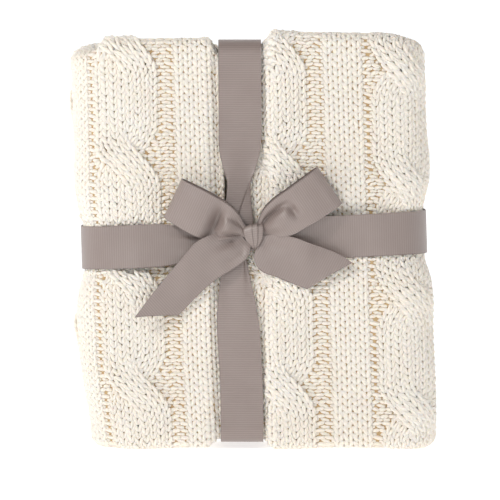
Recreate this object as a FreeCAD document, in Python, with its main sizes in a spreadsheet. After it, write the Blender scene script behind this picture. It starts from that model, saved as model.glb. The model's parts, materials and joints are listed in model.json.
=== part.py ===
"""A knitted throw blanket, folded into a flat stack and tied both ways with one length of ribbon.

The throw is one knitted sheet. Folded in four along its length it is a strip of four plies,
called a leaf here. The strip is folded in half and its ends are then folded in to meet at the
front, so the stack is four leaves deep: two leaves in each front flap, two behind, and an inner
and an outer fold down each side. The left flap ends in the strip's free selvedges and the right
flap in the turn where the strip was halved. The ribbon goes round the stack across and up, and
is tied at the front in a bow with two loops and two tails.

Frame: millimetres, +Z up, the front of the stack faces -Y, and the origin is the middle of the
bounding box's underside, on the surface that the stack stands on.
"""

import FreeCAD, Part
import math
import os
import Sketcher
from FreeCAD import Placement, Rotation, Vector

OUT = "parts"
ALONG_X, ALONG_Y, ALONG_Z = Vector(1, 0, 0), Vector(0, 1, 0), Vector(0, 0, 1)

# Every size that can be set by itself, in millimetres, or degrees where its note says so.
SIZES = [
    ("folded_width", 318, "the stack, across"),
    ("folded_height", 370, "the stack, up"),
    ("ply", 5.5, "one knitted ply, as the ribbon presses it"),
    ("plies_in_leaf", 4, "plies in one leaf"),
    ("inner_bend", 12, "outside corner of the inner leaf where it turns"),
    ("fold_run", 6, "straight piece of a side fold before its corner"),
    ("lip", 9, "rounding of each leaf's top and bottom edges"),
    ("selvedge_x", -27, "where the left flap's free edge lies"),
    ("inner_setback", 3, "how far the inner leaf's free edge lies behind it"),
    ("seam_gap", 2, "between the left flap's free edge and the right flap's turn"),
    ("ribbon_width", 38, "grosgrain ribbon"),
    ("ribbon_gauge", 0.6, "its thickness"),
    ("ribbon_gap", 0.1, "between the ribbon and what it lies on"),
    ("tie_x", -9, "middle of the ribbon that goes up"),
    ("tie_z", 186, "middle of the ribbon that goes across, at X 0"),
    ("tie_tilt", 2.75, "its rise to the right, degrees"),
    ("pull_face", 5, "how far the ribbon draws in the front and the back"),
    ("pull_side", 10, "how far it draws in the two sides"),
    ("pull_end", 7, "how far it draws in the top and the underside"),
    ("channel_margin", 1.5, "channel beyond each edge of the ribbon"),
    ("tie_bend", 16, "the ribbon's bend over the top and under the base"),
    ("knot_x", 2.5, "middle of the knot"),
    ("knot_z", 190.5, "middle of the knot"),
    ("knot_width", 16, "knot, across"),
    ("knot_height", 20, "knot, up"),
    ("knot_front", 10, "knot, out from the flaps"),
    ("knot_rounding", 4.5, "knot's edges"),
    ("run_neck", 13, "width of each front run under the knot"),
    ("run_taper", 55, "distance from the knot over which a front run narrows"),
    ("loop_clear", 1, "between a loop and the flaps"),
    ("loop_bend", 9.5, "bend at the far end of a loop"),
    ("root_rise", 4, "hinge lines of the bow, out from the flaps"),
    ("root_roll", 2, "radius of the rolled ribbon at each root of the bow"),
    ("root_gap", 0.6, "between a root and the knot"),
    ("root_width", 9, "a loop or tail at its root"),
    ("loop_spread", 46, "distance from the root over which a loop opens to full width"),
    ("left_loop_length", 65, "root to far end"),
    ("left_loop_angle", 155, "degrees, anticlockwise from +X as seen from the front"),
    ("right_loop_length", 66, "root to far end"),
    ("right_loop_angle", 34, "degrees"),
    ("left_tail_length", 97, "root to the middle of the cut end"),
    ("left_tail_angle", 222, "degrees"),
    ("left_tail_cut", -40, "slant of the cut end, degrees"),
    ("left_tail_edge", 30, "its shorter edge, from full width to the cut"),
    ("right_tail_length", 62, "root to the middle of the cut end"),
    ("right_tail_angle", 333, "degrees"),
    ("right_tail_cut", 39, "slant of the cut end, degrees"),
    ("right_tail_edge", 6, "its shorter edge, from full width to the cut"),
]

# Sizes that follow from those, as expressions on the sheet.
LEAF = "(sizes.ply * sizes.plies_in_leaf)"
BOW_RISE = "(sizes.loop_clear + 2 * sizes.loop_bend)"
STACK_Y = f"({BOW_RISE} / 2)"
FRONT_Y = f"({STACK_Y} - 2 * {LEAF})"
BACK_Y = f"({STACK_Y} + 2 * {LEAF})"
SIDE_X = "(sizes.folded_width / 2)"
OUTER_BEND = f"(sizes.inner_bend + {LEAF})"
FOLD_X = f"({SIDE_X} - {OUTER_BEND} - sizes.fold_run)"
INNER_SIDE_X = f"({SIDE_X} - {LEAF})"
TURN_EDGE_X = "(sizes.selvedge_x + sizes.seam_gap)"
TURN_X = f"({TURN_EDGE_X} + {LEAF})"
CHANNEL_HALF = "(sizes.ribbon_width / 2 + sizes.channel_margin)"
# The ribbon that goes up lies on its channel's floor, and the one across lies over it.
UP_LIFT = "sizes.ribbon_gap"
ACROSS_LIFT = "(2 * sizes.ribbon_gap + sizes.ribbon_gauge)"
KNOT_LIFT = "(3 * sizes.ribbon_gap + 2 * sizes.ribbon_gauge)"
FLOOR_Y = f"({FRONT_Y} + sizes.pull_face)"
# Beyond the stack on every side, for blocks that only cut.
CLEAR = "(sizes.folded_width / 4)"


class Design:
    """The document, its sheet of sizes, and the ways that its pieces are made."""

    def __init__(self):
        self.doc = FreeCAD.newDocument("folded_throw")
        self.sheet = self.doc.addObject("Spreadsheet::Sheet", "sizes")
        for row, (alias, value, note) in enumerate(SIZES, 1):
            self.sheet.set(f"A{row}", note)
            self.sheet.set(f"B{row}", str(value))
            self.sheet.setAlias(f"B{row}", alias)
        self.doc.recompute()
        self.nodes = []

    def value(self, expression):
        """What an expression on the sheet comes to."""
        return float(self.sheet.evalExpression(expression))

    def bind(self, item, **expressions):
        """Ties properties of an object to expressions; a double underscore stands for a dot."""
        for name, expression in expressions.items():
            item.setExpression(name.replace("__", "."), expression)

    def place(self, item, x="0", y="0", z="0", axis=None, angle="0"):
        """Ties an object's place, and its turn about an axis in degrees, to the sheet."""
        turn = Rotation(axis, self.value(angle)) if axis else Rotation()
        item.Placement = Placement(Vector(), turn)
        self.bind(item, Placement__Base__x=x, Placement__Base__y=y, Placement__Base__z=z)
        if axis:
            self.bind(item, Placement__Rotation__Angle=f"({angle}) * 1 deg")

    def body(self, name):
        """An empty PartDesign body."""
        return self.doc.addObject("PartDesign::Body", name)

    def plane(self, body, role):
        """One of a body's own origin planes."""
        return next(item for item in body.Origin.OriginFeatures if item.Role == role)

    def solid_box(self, body, low, high, kind="AdditiveBox"):
        """A box in a body, between two corners given as expressions."""
        box = body.newObject(f"PartDesign::{kind}", body.Name + "_box")
        lengths = dict(zip(("Length", "Width", "Height"), (f"({b}) - ({a})" for a, b in zip(low, high))))
        self.bind(box, **lengths)
        self.place(box, *low)
        self.doc.recompute()
        return box

    def round_edges(self, body, radius, wanted):
        """A fillet on each edge of the body's tip that the test picks by the edge itself."""
        base = body.Tip
        names = [f"Edge{i}" for i, edge in enumerate(base.Shape.Edges, 1) if wanted(edge)]
        fillet = body.newObject("PartDesign::Fillet", body.Name + "_round")
        fillet.Base = (base, names)
        self.bind(fillet, Radius=radius)
        self.doc.recompute()
        return fillet

    def sketch(self, body, role, name):
        """An empty sketch on one of a body's own origin planes."""
        sketch = body.newObject("Sketcher::SketchObject", name)
        sketch.AttachmentSupport = [(self.plane(body, role), "")]
        sketch.MapMode = "FlatFace"
        return sketch

    def pin(self, sketch, geometry, point, u, v):
        """Ties one point of a sketch's geometry to expressions, measured from its origin."""
        for kind, expression in (("DistanceX", u), ("DistanceY", v)):
            value = self.value(expression)
            index = sketch.addConstraint(Sketcher.Constraint(kind, -1, 1, geometry, point, value))
            sketch.setExpression(f"Constraints[{index}]", expression)

    def add_polygon(self, sketch, points):
        """A closed outline of straight lines through points given as pairs of expressions."""
        spots = [Vector(self.value(u), self.value(v), 0) for u, v in points]
        first = sketch.GeometryCount
        for here, there in zip(spots, spots[1:] + spots[:1]):
            sketch.addGeometry(Part.LineSegment(here, there))
        for step, (u, v) in enumerate(points):
            after = first + (step + 1) % len(points)
            sketch.addConstraint(Sketcher.Constraint("Coincident", first + step, 2, after, 1))
            self.pin(sketch, first + step, 1, u, v)

    def add_belt(self, sketch, near_radius, far_u, far_v, far_radius):
        """A closed outline round two circles, the near one at the sketch's origin."""
        near = self.value(near_radius)
        far = self.value(far_radius)
        centre = Vector(self.value(far_u), self.value(far_v), 0)
        heading = math.atan2(centre.y, centre.x)
        lean = math.acos((near - far) / centre.Length)
        upper, lower = (Vector(math.cos(a), math.sin(a), 0) for a in (heading + lean, heading - lean))
        start = sketch.GeometryCount
        near_arc, far_arc, upper_line, lower_line = range(start, start + 4)
        near_circle = Part.Circle(Vector(), ALONG_Z, near)
        far_circle = Part.Circle(centre, ALONG_Z, far)
        sketch.addGeometry(Part.ArcOfCircle(near_circle, heading + lean, heading - lean + 2 * math.pi))
        sketch.addGeometry(Part.ArcOfCircle(far_circle, heading - lean, heading + lean))
        sketch.addGeometry(Part.LineSegment(centre + upper * far, upper * near))
        sketch.addGeometry(Part.LineSegment(lower * near, centre + lower * far))
        joins = [(far_arc, 2, upper_line, 1), (upper_line, 2, near_arc, 1),
                 (near_arc, 2, lower_line, 1), (lower_line, 2, far_arc, 1)]
        for join in joins:
            sketch.addConstraint(Sketcher.Constraint("Tangent", *join))
        self.pin(sketch, near_arc, 3, "0", "0")
        self.pin(sketch, far_arc, 3, far_u, far_v)
        for arc, radius in ((near_arc, near_radius), (far_arc, far_radius)):
            value = self.value(radius)
            index = sketch.addConstraint(Sketcher.Constraint("Radius", arc, value))
            sketch.setExpression(f"Constraints[{index}]", radius)

    def pad(self, body, sketch, length):
        """A pad to both sides of a sketch, its whole length an expression."""
        pad = body.newObject("PartDesign::Pad", body.Name + "_pad")
        pad.Profile = sketch
        pad.Midplane = True
        self.bind(pad, Length=length)
        self.doc.recompute()
        return pad

    def pocket(self, body, sketch):
        """A pocket right through to both sides of a sketch, which has to take something away."""
        before = body.Shape.Volume
        pocket = body.newObject("PartDesign::Pocket", body.Name + "_pocket")
        pocket.Profile = sketch
        pocket.Type = "ThroughAll"
        pocket.Midplane = True
        self.doc.recompute()
        if not body.Shape.Volume < before:
            raise RuntimeError(f"{pocket.Name} cuts nothing")
        return pocket

    def combine(self, kind, name, base, tool):
        """A Part::Cut, Part::Fuse or Part::Common of two objects."""
        result = self.doc.addObject(f"Part::{kind}", name)
        result.Base = base
        result.Tool = tool
        return result

    def node(self, item, label):
        """Marks an object as a finished piece; its label names its file."""
        item.Label = label
        self.nodes.append(item)


def upright(edge):
    """True for an edge parallel to Z."""
    return all(abs(end.Point.z - edge.Vertexes[0].Point.z) > 1 for end in edge.Vertexes[1:])


def on_plane(edge, axis, value, tolerance=0.01):
    """True for an edge that lies in the plane where a coordinate has one value."""
    box = edge.BoundBox
    low, high = (box.XMin, box.XMax) if axis == "x" else (box.ZMin, box.ZMax)
    return abs(low - value) < tolerance and abs(high - value) < tolerance


class Stack:
    """The folded throw: leaves, side folds and the right flap's turn, with the ribbon's channels."""

    def __init__(self, design):
        self.design = design

    def rim_edge(self, edge, joint_x):
        """True for a top or bottom edge that isn't the joint to the next piece."""
        ends = ("0", "sizes.folded_height")
        at_end = any(on_plane(edge, "z", self.design.value(z)) for z in ends)
        return at_end and not any(on_plane(edge, "x", x) for x in joint_x)

    def leaf(self, name, left, right, front):
        """A flat stretch of one leaf, its top and bottom lips rounded on both faces."""
        design = self.design
        body = design.body(name)
        low = (left, front, "0")
        high = (right, f"{front} + {LEAF}", "sizes.folded_height")
        design.solid_box(body, low, high)
        ends = [design.value(left), design.value(right)]
        design.round_edges(body, "sizes.lip", lambda edge: self.rim_edge(edge, ends))
        return body

    def bend(self, name, joint, edge, front, back, corner):
        """The block that a leaf fills where it turns back on itself, from its joint to its edge."""
        design = self.design
        body = design.body(name)
        joint_x, edge_x = design.value(joint), design.value(edge)
        low_x, high_x = (edge, joint) if edge_x < joint_x else (joint, edge)
        design.solid_box(body, (low_x, front, "0"), (high_x, back, "sizes.folded_height"))
        design.round_edges(body, corner, lambda e: upright(e) and on_plane(e, "x", edge_x))
        return body

    def inner_fold(self, name, joint, edge, front, back):
        """A leaf turned close on itself."""
        body = self.bend(name, joint, edge, front, back, "sizes.inner_bend")
        ends = [self.design.value(joint)]
        self.design.round_edges(body, "sizes.lip", lambda e: self.rim_edge(e, ends))
        return body

    def outer_fold(self, name, side):
        """The outer leaf going round the inner fold, side being -1 or 1."""
        design = self.design
        joint, edge, inside = (f"({side}) * {x}" for x in (FOLD_X, SIDE_X, INNER_SIDE_X))
        body = self.bend(name, joint, edge, FRONT_Y, BACK_Y, OUTER_BEND)
        low_x, high_x = (inside, joint) if side < 0 else (joint, inside)
        low = (low_x, f"{STACK_Y} - {LEAF}", "0")
        high = (high_x, f"{STACK_Y} + {LEAF}", "sizes.folded_height")
        design.solid_box(body, low, high, "SubtractiveBox")
        inside_x = design.value(inside)
        design.round_edges(body, "sizes.inner_bend", lambda e: upright(e) and on_plane(e, "x", inside_x))
        ends = [design.value(joint)]
        design.round_edges(body, "sizes.lip", lambda e: self.rim_edge(e, ends))
        return body

    def make(self, channels):
        """Builds the eleven pieces and cuts the ribbon's channels where it crosses them."""
        inner_front, inner_back = f"({STACK_Y} - {LEAF})", STACK_Y
        outer_back = f"({STACK_Y} + {LEAF})"
        left, right = f"(-{FOLD_X})", FOLD_X
        inner_end = "(sizes.selvedge_x - sizes.inner_setback)"
        crossed = [
            self.leaf("left_flap_inner_leaf", left, inner_end, inner_front),
            self.leaf("back_outer_leaf", left, right, outer_back),
            self.leaf("back_inner_leaf", left, right, inner_back),
            self.leaf("left_flap_outer_leaf", left, "sizes.selvedge_x", FRONT_Y),
            self.leaf("right_flap_outer_leaf", TURN_X, right, FRONT_Y),
            self.leaf("right_flap_inner_leaf", TURN_X, right, inner_front),
            self.inner_fold("right_flap_turn", TURN_X, TURN_EDGE_X, FRONT_Y, STACK_Y),
            self.outer_fold("left_fold_outer", -1),
            self.outer_fold("right_fold_outer", 1),
        ]
        for body in crossed:
            label = body.Label
            body.Label = label + "_whole"
            cut = self.design.combine("Cut", label + "_tied", body, channels)
            self.design.node(cut, label)
        clear = [
            self.inner_fold("left_fold_inner", left, f"(-{INNER_SIDE_X})", inner_front, outer_back),
            self.inner_fold("right_fold_inner", right, INNER_SIDE_X, inner_front, outer_back),
        ]
        for body in clear:
            self.design.node(body, body.Label)


class Tie:
    """The ribbon round the stack: one ring across and one ring up, and the channels under them."""

    def __init__(self, design):
        self.design = design

    def seat(self, item, across):
        """Places an object in the frame of one ring, whose origin is the stack's middle there."""
        if across:
            self.design.place(item, "0", STACK_Y, "sizes.tie_z", Vector(0, -1, 0), "sizes.tie_tilt")
        else:
            self.design.place(item, "sizes.tie_x", STACK_Y, "sizes.folded_height / 2")

    def half_sizes(self, across, lift):
        """Half of a ring's long way and half of its depth, a lift above the channel's floor."""
        if across:
            half = f"({SIDE_X} - sizes.pull_side + {lift})"
        else:
            half = f"(sizes.folded_height / 2 - sizes.pull_end + {lift})"
        return half, f"(2 * {LEAF} - sizes.pull_face + {lift})"

    def corner(self, across, lift):
        """Radius of a ring's corners, a lift above the channel's floor."""
        if across:
            return f"({SIDE_X} - {FOLD_X} - sizes.pull_side + {lift})"
        return f"(sizes.tie_bend + {lift})"

    def core(self, name, across, lift, half_width):
        """A rounded block that fills a ring out to a lift above the channel's floor."""
        design = self.design
        body = design.body(name)
        half_long, half_deep = self.half_sizes(across, lift)
        if across:
            halves = (half_long, half_deep, half_width)
        else:
            halves = (half_width, half_deep, half_long)
        design.solid_box(body, [f"(-{half})" for half in halves], halves)
        turns_about = ALONG_Z if across else ALONG_X
        design.round_edges(body, self.corner(across, lift),
                           lambda e: abs(e.tangentAt(e.FirstParameter).dot(turns_about)) > 0.99)
        self.seat(body, across)
        return body

    def channel(self, name, across):
        """Everything outside the channel's floor, over the width that the ribbon needs."""
        design = self.design
        block = design.doc.addObject("Part::Box", name + "_block")
        half_long, half_deep = self.half_sizes(across, CLEAR)
        wide, deep, tall = f"2 * {CHANNEL_HALF}", f"2 * {half_deep}", f"2 * {half_long}"
        if across:
            wide, tall = tall, wide
        design.bind(block, Length=wide, Width=deep, Height=tall)
        if across:
            # The block is cut out round its own corner, so it is moved back by half its sizes
            # along the ring's tilted axes.
            lean = "(sizes.tie_tilt * 1 deg)"
            x = f"-{half_long} * cos({lean}) + {CHANNEL_HALF} * sin({lean})"
            z = f"sizes.tie_z - {half_long} * sin({lean}) - {CHANNEL_HALF} * cos({lean})"
            design.place(block, x, f"{STACK_Y} - {half_deep}", z, Vector(0, -1, 0), "sizes.tie_tilt")
        else:
            z = f"sizes.folded_height / 2 - {half_long}"
            design.place(block, f"sizes.tie_x - {CHANNEL_HALF}", f"{STACK_Y} - {half_deep}", z)
        core = self.core(name + "_floor", across, "0", f"(2 * {CHANNEL_HALF})")
        return design.combine("Cut", name, block, core)

    def channels(self):
        """Both channels as one tool."""
        across = self.channel("channel_across", True)
        up = self.channel("channel_up", False)
        return self.design.combine("Fuse", "channels", across, up)

    def sleeve(self, name, across, lift):
        """A whole ring of ribbon, from which its runs are taken."""
        half = "(sizes.ribbon_width / 2)"
        outside = self.core(name + "_outside", across, f"({lift} + sizes.ribbon_gauge)", half)
        inside = self.core(name + "_inside", across, lift, "sizes.ribbon_width")
        return self.design.combine("Cut", name, outside, inside)

    def wrap(self, label, sleeve, across, low, high):
        """The part of a sleeve between two corners given in its ring's frame."""
        region = self.design.body(label + "_region")
        self.design.solid_box(region, low, high)
        self.seat(region, across)
        run = self.design.combine("Common", label + "_run", sleeve, region)
        self.design.node(run, label)

    def front_run(self, label, across, lift, side):
        """A run at the front, full width to the ring's corner and gathered in at the knot."""
        design = self.design
        body = design.body(label + "_body")
        half_long, half_deep = self.half_sizes(across, lift)
        far = f"({side} * ({half_long} - {self.corner(across, lift)}))"
        if across:
            knot_along, knot_aside = "sizes.knot_x", "(sizes.knot_z - sizes.tie_z)"
        else:
            knot_along, knot_aside = "(sizes.knot_z - sizes.folded_height / 2)", \
                "(sizes.knot_x - sizes.tie_x)"
        full = f"({knot_along} + {side} * sizes.run_taper)"
        rim = "(sizes.knot_width / 2)" if across else "(sizes.knot_height / 2)"
        edge = f"({knot_along} + {side} * {rim})"
        half, neck = "(sizes.ribbon_width / 2)", "(sizes.run_neck / 2)"
        outline = [(far, half), (full, half), (edge, f"{knot_aside} + {neck}"),
                   (knot_along, f"{knot_aside} + {neck}"), (knot_along, f"{knot_aside} - {neck}"),
                   (edge, f"{knot_aside} - {neck}"), (full, f"-{half}"), (far, f"-{half}")]
        if not across:
            outline = [(v, u) for u, v in outline]
        sketch = design.sketch(body, "XZ_Plane", label + "_outline")
        design.bind(sketch, AttachmentOffset__Base__z=f"{half_deep} + sizes.ribbon_gauge / 2")
        design.add_polygon(sketch, outline)
        design.pad(body, sketch, "sizes.ribbon_gauge")
        self.seat(body, across)
        design.node(body, label)

    def knot(self):
        """The knot, drawn tight over the crossing of the runs."""
        design = self.design
        body = design.body("knot_body")
        back = f"({FLOOR_Y} - {KNOT_LIFT})"
        low = ("(-sizes.knot_width / 2)", "0", "(-sizes.knot_height / 2)")
        high = ("(sizes.knot_width / 2)", f"{back} - {FRONT_Y} + sizes.knot_front",
                "(sizes.knot_height / 2)")
        design.solid_box(body, low, high)
        design.round_edges(body, "sizes.knot_rounding", lambda edge: True)
        design.place(body, "sizes.knot_x", f"{FRONT_Y} - sizes.knot_front", "sizes.knot_z")
        design.node(body, "ribbon_knot")

    def make(self):
        """Builds the ten runs of ribbon and the knot."""
        across = self.sleeve("ring_across", True, ACROSS_LIFT)
        up = self.sleeve("ring_up", False, UP_LIFT)
        far = f"({SIDE_X} + {CLEAR})"
        start = FOLD_X
        half = "sizes.ribbon_width"
        for name, low_x, high_x in (("left", f"(-{far})", f"(-{start})"), ("right", start, far)):
            low, high = (low_x, f"(-{far})", f"(-{half})"), (high_x, far, half)
            self.wrap(f"ribbon_across_{name}_side", across, True, low, high)
        low, high = (f"(-{start})", "0", f"(-{half})"), (start, far, half)
        self.wrap("ribbon_across_back", across, True, low, high)
        tall = "(sizes.folded_height)"
        bend_z = "(sizes.folded_height / 2 - sizes.pull_end - sizes.tie_bend)"
        for name, low_z, high_z in (("top", bend_z, tall), ("underside", f"(-{tall})", f"(-{bend_z})")):
            low, high = (f"(-{half})", f"(-{far})", low_z), (half, far, high_z)
            self.wrap(f"ribbon_up_{name}", up, False, low, high)
        low, high = (f"(-{half})", "0", f"(-{bend_z})"), (half, far, bend_z)
        self.wrap("ribbon_up_back", up, False, low, high)
        self.front_run("ribbon_across_front_left", True, ACROSS_LIFT, "(-1)")
        self.front_run("ribbon_across_front_right", True, ACROSS_LIFT, "1")
        self.front_run("ribbon_up_front_upper", False, UP_LIFT, "1")
        self.front_run("ribbon_up_front_lower", False, UP_LIFT, "(-1)")
        self.knot()


class Bow:
    """Two loops and two tails, each hinged at its root beside the knot.

    A piece is drawn with X from its root to its far end, Y towards the throw and Z across the
    ribbon, and its root's rolled edge is centred on the hinge line, which is its Z axis.
    """

    def __init__(self, design):
        self.design = design

    def seat(self, body, which):
        """Turns a piece to its direction and puts its root beside the knot."""
        angle = f"sizes.{which}_angle"
        across, up = f"cos({angle} * 1 deg)", f"sin({angle} * 1 deg)"
        reach = f"(sizes.knot_width / 2 * abs({across}) + sizes.knot_height / 2 * abs({up})" \
                " + sizes.root_roll + sizes.root_gap)"
        x = f"sizes.knot_x + {reach} * {across}"
        z = f"sizes.knot_z + {reach} * {up}"
        self.design.place(body, x, f"{FRONT_Y} - sizes.root_rise", z, Vector(0, -1, 0), angle)

    def loop(self, which):
        """A loop: ribbon round its far bend and back, gathered to its root."""
        design = self.design
        body = design.body(which + "_body")
        far_u = f"(sizes.{which}_length - sizes.loop_bend)"
        far_v = "(sizes.root_rise - sizes.loop_clear - sizes.loop_bend)"
        section = design.sketch(body, "XY_Plane", which + "_section")
        design.add_belt(section, "sizes.root_roll", far_u, far_v, "sizes.loop_bend")
        design.add_belt(section, "(sizes.root_roll - sizes.ribbon_gauge)", far_u, far_v,
                        "(sizes.loop_bend - sizes.ribbon_gauge)")
        design.pad(body, section, "sizes.ribbon_width")
        trim = design.sketch(body, "XZ_Plane", which + "_trim")
        outside = "(-2 * sizes.root_roll)"
        for side in ("", "-"):
            half, root = f"({side}sizes.ribbon_width / 2)", f"({side}sizes.root_width / 2)"
            clear = f"({side}sizes.ribbon_width)"
            points = [(outside, root), ("sizes.root_roll", root), ("sizes.loop_spread", half),
                      ("sizes.loop_spread", clear), (outside, clear)]
            design.add_polygon(trim, points)
        design.pocket(body, trim)
        self.seat(body, which)
        design.node(body, "bow_" + which)

    def tail(self, which):
        """A tail: one thickness of ribbon from its rolled root to its slanting cut end."""
        design = self.design
        body = design.body(which + "_body")
        roll = body.newObject("PartDesign::AdditiveCylinder", which + "_roll")
        design.bind(roll, Radius="sizes.root_roll", Height="sizes.root_width")
        design.place(roll, z="(-sizes.root_width / 2)")
        outline = design.sketch(body, "XZ_Plane", which + "_outline")
        half, root = "sizes.ribbon_width / 2", "sizes.root_width / 2"
        slant = f"({half} * tan(sizes.{which}_cut * 1 deg))"
        length = f"sizes.{which}_length"
        spread = f"({length} - abs({slant}) - sizes.{which}_edge)"
        points = [("0", root), ("sizes.root_roll", root), (spread, half),
                  (f"{length} + {slant}", half), (f"{length} - {slant}", f"-{half}"),
                  (spread, f"-{half}"), ("sizes.root_roll", f"-{root}"), ("0", f"-{root}")]
        design.add_polygon(outline, points)
        design.pad(body, outline, "sizes.ribbon_gauge")
        self.seat(body, which)
        design.node(body, "bow_" + which)

    def make(self):
        """Builds the four pieces."""
        self.loop("left_loop")
        self.loop("right_loop")
        self.tail("left_tail")
        self.tail("right_tail")


def check(design):
    """Stops on any failed object, and on a piece with no valid solid."""
    failed = [item.Name for item in design.doc.Objects if {"Invalid", "Error"} & set(item.State)]
    if failed:
        raise RuntimeError(f"not built: {failed}")
    for item in design.nodes:
        if item.Shape.isNull() or not item.Shape.isValid() or len(item.Shape.Solids) != 1:
            raise RuntimeError(f"{item.Label} isn't one valid solid")


def main():
    """Builds the throw, the tie and the bow, checks them, and writes one STEP file for each."""
    design = Design()
    tie = Tie(design)
    Stack(design).make(tie.channels())
    tie.make()
    Bow(design).make()
    design.doc.recompute()
    check(design)
    os.makedirs(OUT, exist_ok=True)
    for item in design.nodes:
        item.Shape.exportStep(os.path.join(OUT, item.Label + ".step"))
        box = item.Shape.BoundBox
        low, high = (box.XMin, box.YMin, box.ZMin), (box.XMax, box.YMax, box.ZMax)
        print(item.Label, [round(v, 1) for v in low], [round(v, 1) for v in high],
              round(item.Shape.Volume))


main()
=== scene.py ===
"""A cable-knit throw, folded into a flat stack and tied both ways with a grosgrain ribbon.

The throw is built stitch by stitch over the folded strip that the frame's leaves and folds give:
one strip, four plies thick, that goes round the outside of the stack and then, past the right
flap's turn, round the inside. The ribbon, its knot, loops and tails are sheets of grosgrain.
"""

import json
import logging
import math
from dataclasses import dataclass, field
from enum import Enum

import bpy
import numpy as np
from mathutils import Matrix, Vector


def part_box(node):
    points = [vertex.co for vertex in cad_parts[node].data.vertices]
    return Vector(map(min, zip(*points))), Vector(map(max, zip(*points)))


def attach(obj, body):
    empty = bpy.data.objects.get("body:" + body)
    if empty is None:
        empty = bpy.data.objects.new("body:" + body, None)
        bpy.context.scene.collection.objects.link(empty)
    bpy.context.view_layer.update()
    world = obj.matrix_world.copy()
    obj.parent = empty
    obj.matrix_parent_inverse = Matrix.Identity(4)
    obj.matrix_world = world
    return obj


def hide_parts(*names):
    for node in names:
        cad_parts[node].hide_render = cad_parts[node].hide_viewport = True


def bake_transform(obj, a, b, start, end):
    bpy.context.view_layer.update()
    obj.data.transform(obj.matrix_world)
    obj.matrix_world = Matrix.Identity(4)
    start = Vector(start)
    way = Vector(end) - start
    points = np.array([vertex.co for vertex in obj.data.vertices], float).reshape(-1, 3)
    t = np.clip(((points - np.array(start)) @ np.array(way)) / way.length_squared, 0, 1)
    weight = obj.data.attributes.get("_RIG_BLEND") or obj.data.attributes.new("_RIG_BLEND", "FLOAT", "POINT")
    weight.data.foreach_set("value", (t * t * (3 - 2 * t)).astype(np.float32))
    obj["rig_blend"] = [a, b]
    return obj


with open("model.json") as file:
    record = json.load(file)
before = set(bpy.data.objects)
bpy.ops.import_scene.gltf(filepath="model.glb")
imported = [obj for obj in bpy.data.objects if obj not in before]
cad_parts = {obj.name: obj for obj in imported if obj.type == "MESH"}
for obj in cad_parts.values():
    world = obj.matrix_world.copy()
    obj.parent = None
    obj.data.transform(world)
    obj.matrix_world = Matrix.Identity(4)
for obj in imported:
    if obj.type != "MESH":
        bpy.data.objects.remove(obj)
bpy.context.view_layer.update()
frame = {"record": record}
LOG = logging.getLogger("throw")
MM = 0.001
ROOT = "tied_throw"


def node_box(name: str) -> tuple[np.ndarray, np.ndarray]:
    """A frame node's lowest and highest corners.

    Args:
        name: the node.

    Returns:
        Two corners, in millimetres.
    """
    low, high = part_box(name)
    return np.array(low) / MM, np.array(high) / MM


def smooth(x: np.ndarray, low: float, high: float) -> np.ndarray:
    """A smooth step from 0 at low to 1 at high; low may be the larger."""
    f = np.clip((x - low) / (high - low), 0, 1)
    return f * f * (3 - 2 * f)


def unit(v: np.ndarray) -> np.ndarray:
    """Vectors, in rows, at length one."""
    return v / np.maximum(np.linalg.norm(v, axis=-1, keepdims=True), 1e-9)


# ---------------------------------------------------------------- finishes


def linear(code: str, alpha: float = 1.0) -> tuple[float, float, float, float]:
    """An sRGB hex colour as linear light.

    Args:
        code: six hex digits.
        alpha: opacity.

    Returns:
        Red, green, blue and alpha.
    """
    parts = [int(code[i:i + 2], 16) / 255 for i in (0, 2, 4)]
    red, green, blue = (c / 12.92 if c <= 0.04045 else ((c + 0.055) / 1.055) ** 2.4 for c in parts)
    return red, green, blue, alpha


def add(tree: bpy.types.NodeTree, kind: str, settings: dict | None = None,
        links: dict | None = None) -> bpy.types.Node:
    """Adds one node to a tree.

    Args:
        tree: the node tree.
        kind: the node's type name.
        settings: properties by name, or socket values by the socket's name or number.
        links: sockets to join to this node's inputs, by the input's name or number.

    Returns:
        The node.
    """
    node = tree.nodes.new(kind)
    for key, value in (settings or {}).items():
        if isinstance(key, str) and hasattr(node, key):
            setattr(node, key, value)
        else:
            node.inputs[key].default_value = value
    for key, socket in (links or {}).items():
        tree.links.new(socket, node.inputs[key])
    return node


def new_material(name: str) -> tuple[bpy.types.Material, bpy.types.NodeTree]:
    """An empty node material.

    Args:
        name: the finish's name.

    Returns:
        The material, and its tree.
    """
    material = bpy.data.materials.new(name)
    material.use_nodes = True
    material.node_tree.nodes.clear()
    return material, material.node_tree


def mottle(tree: bpy.types.NodeTree, scale_mm: float, detail: float = 2.0) -> bpy.types.NodeSocket:
    """Cloudy noise that is fixed to the piece.

    Args:
        tree: the node tree.
        scale_mm: its size.
        detail: its octaves.

    Returns:
        The noise, from 0 to 1.
    """
    place = add(tree, "ShaderNodeTexCoord")
    return add(tree, "ShaderNodeTexNoise", {"Scale": 1 / (scale_mm * MM), "Detail": detail},
               {"Vector": place.outputs["Object"]}).outputs[0]


def shaded(tree: bpy.types.NodeTree, light: str, dark: str,
           amount: bpy.types.NodeSocket) -> bpy.types.NodeSocket:
    """One colour turning into another.

    Args:
        tree: the node tree.
        light: sRGB hex where the amount is 0.
        dark: sRGB hex where it is 1.
        amount: the amount.

    Returns:
        The colour.
    """
    return add(tree, "ShaderNodeMix", {"data_type": "RGBA", 6: linear(light), 7: linear(dark)},
               {0: amount}).outputs[2]


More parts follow.
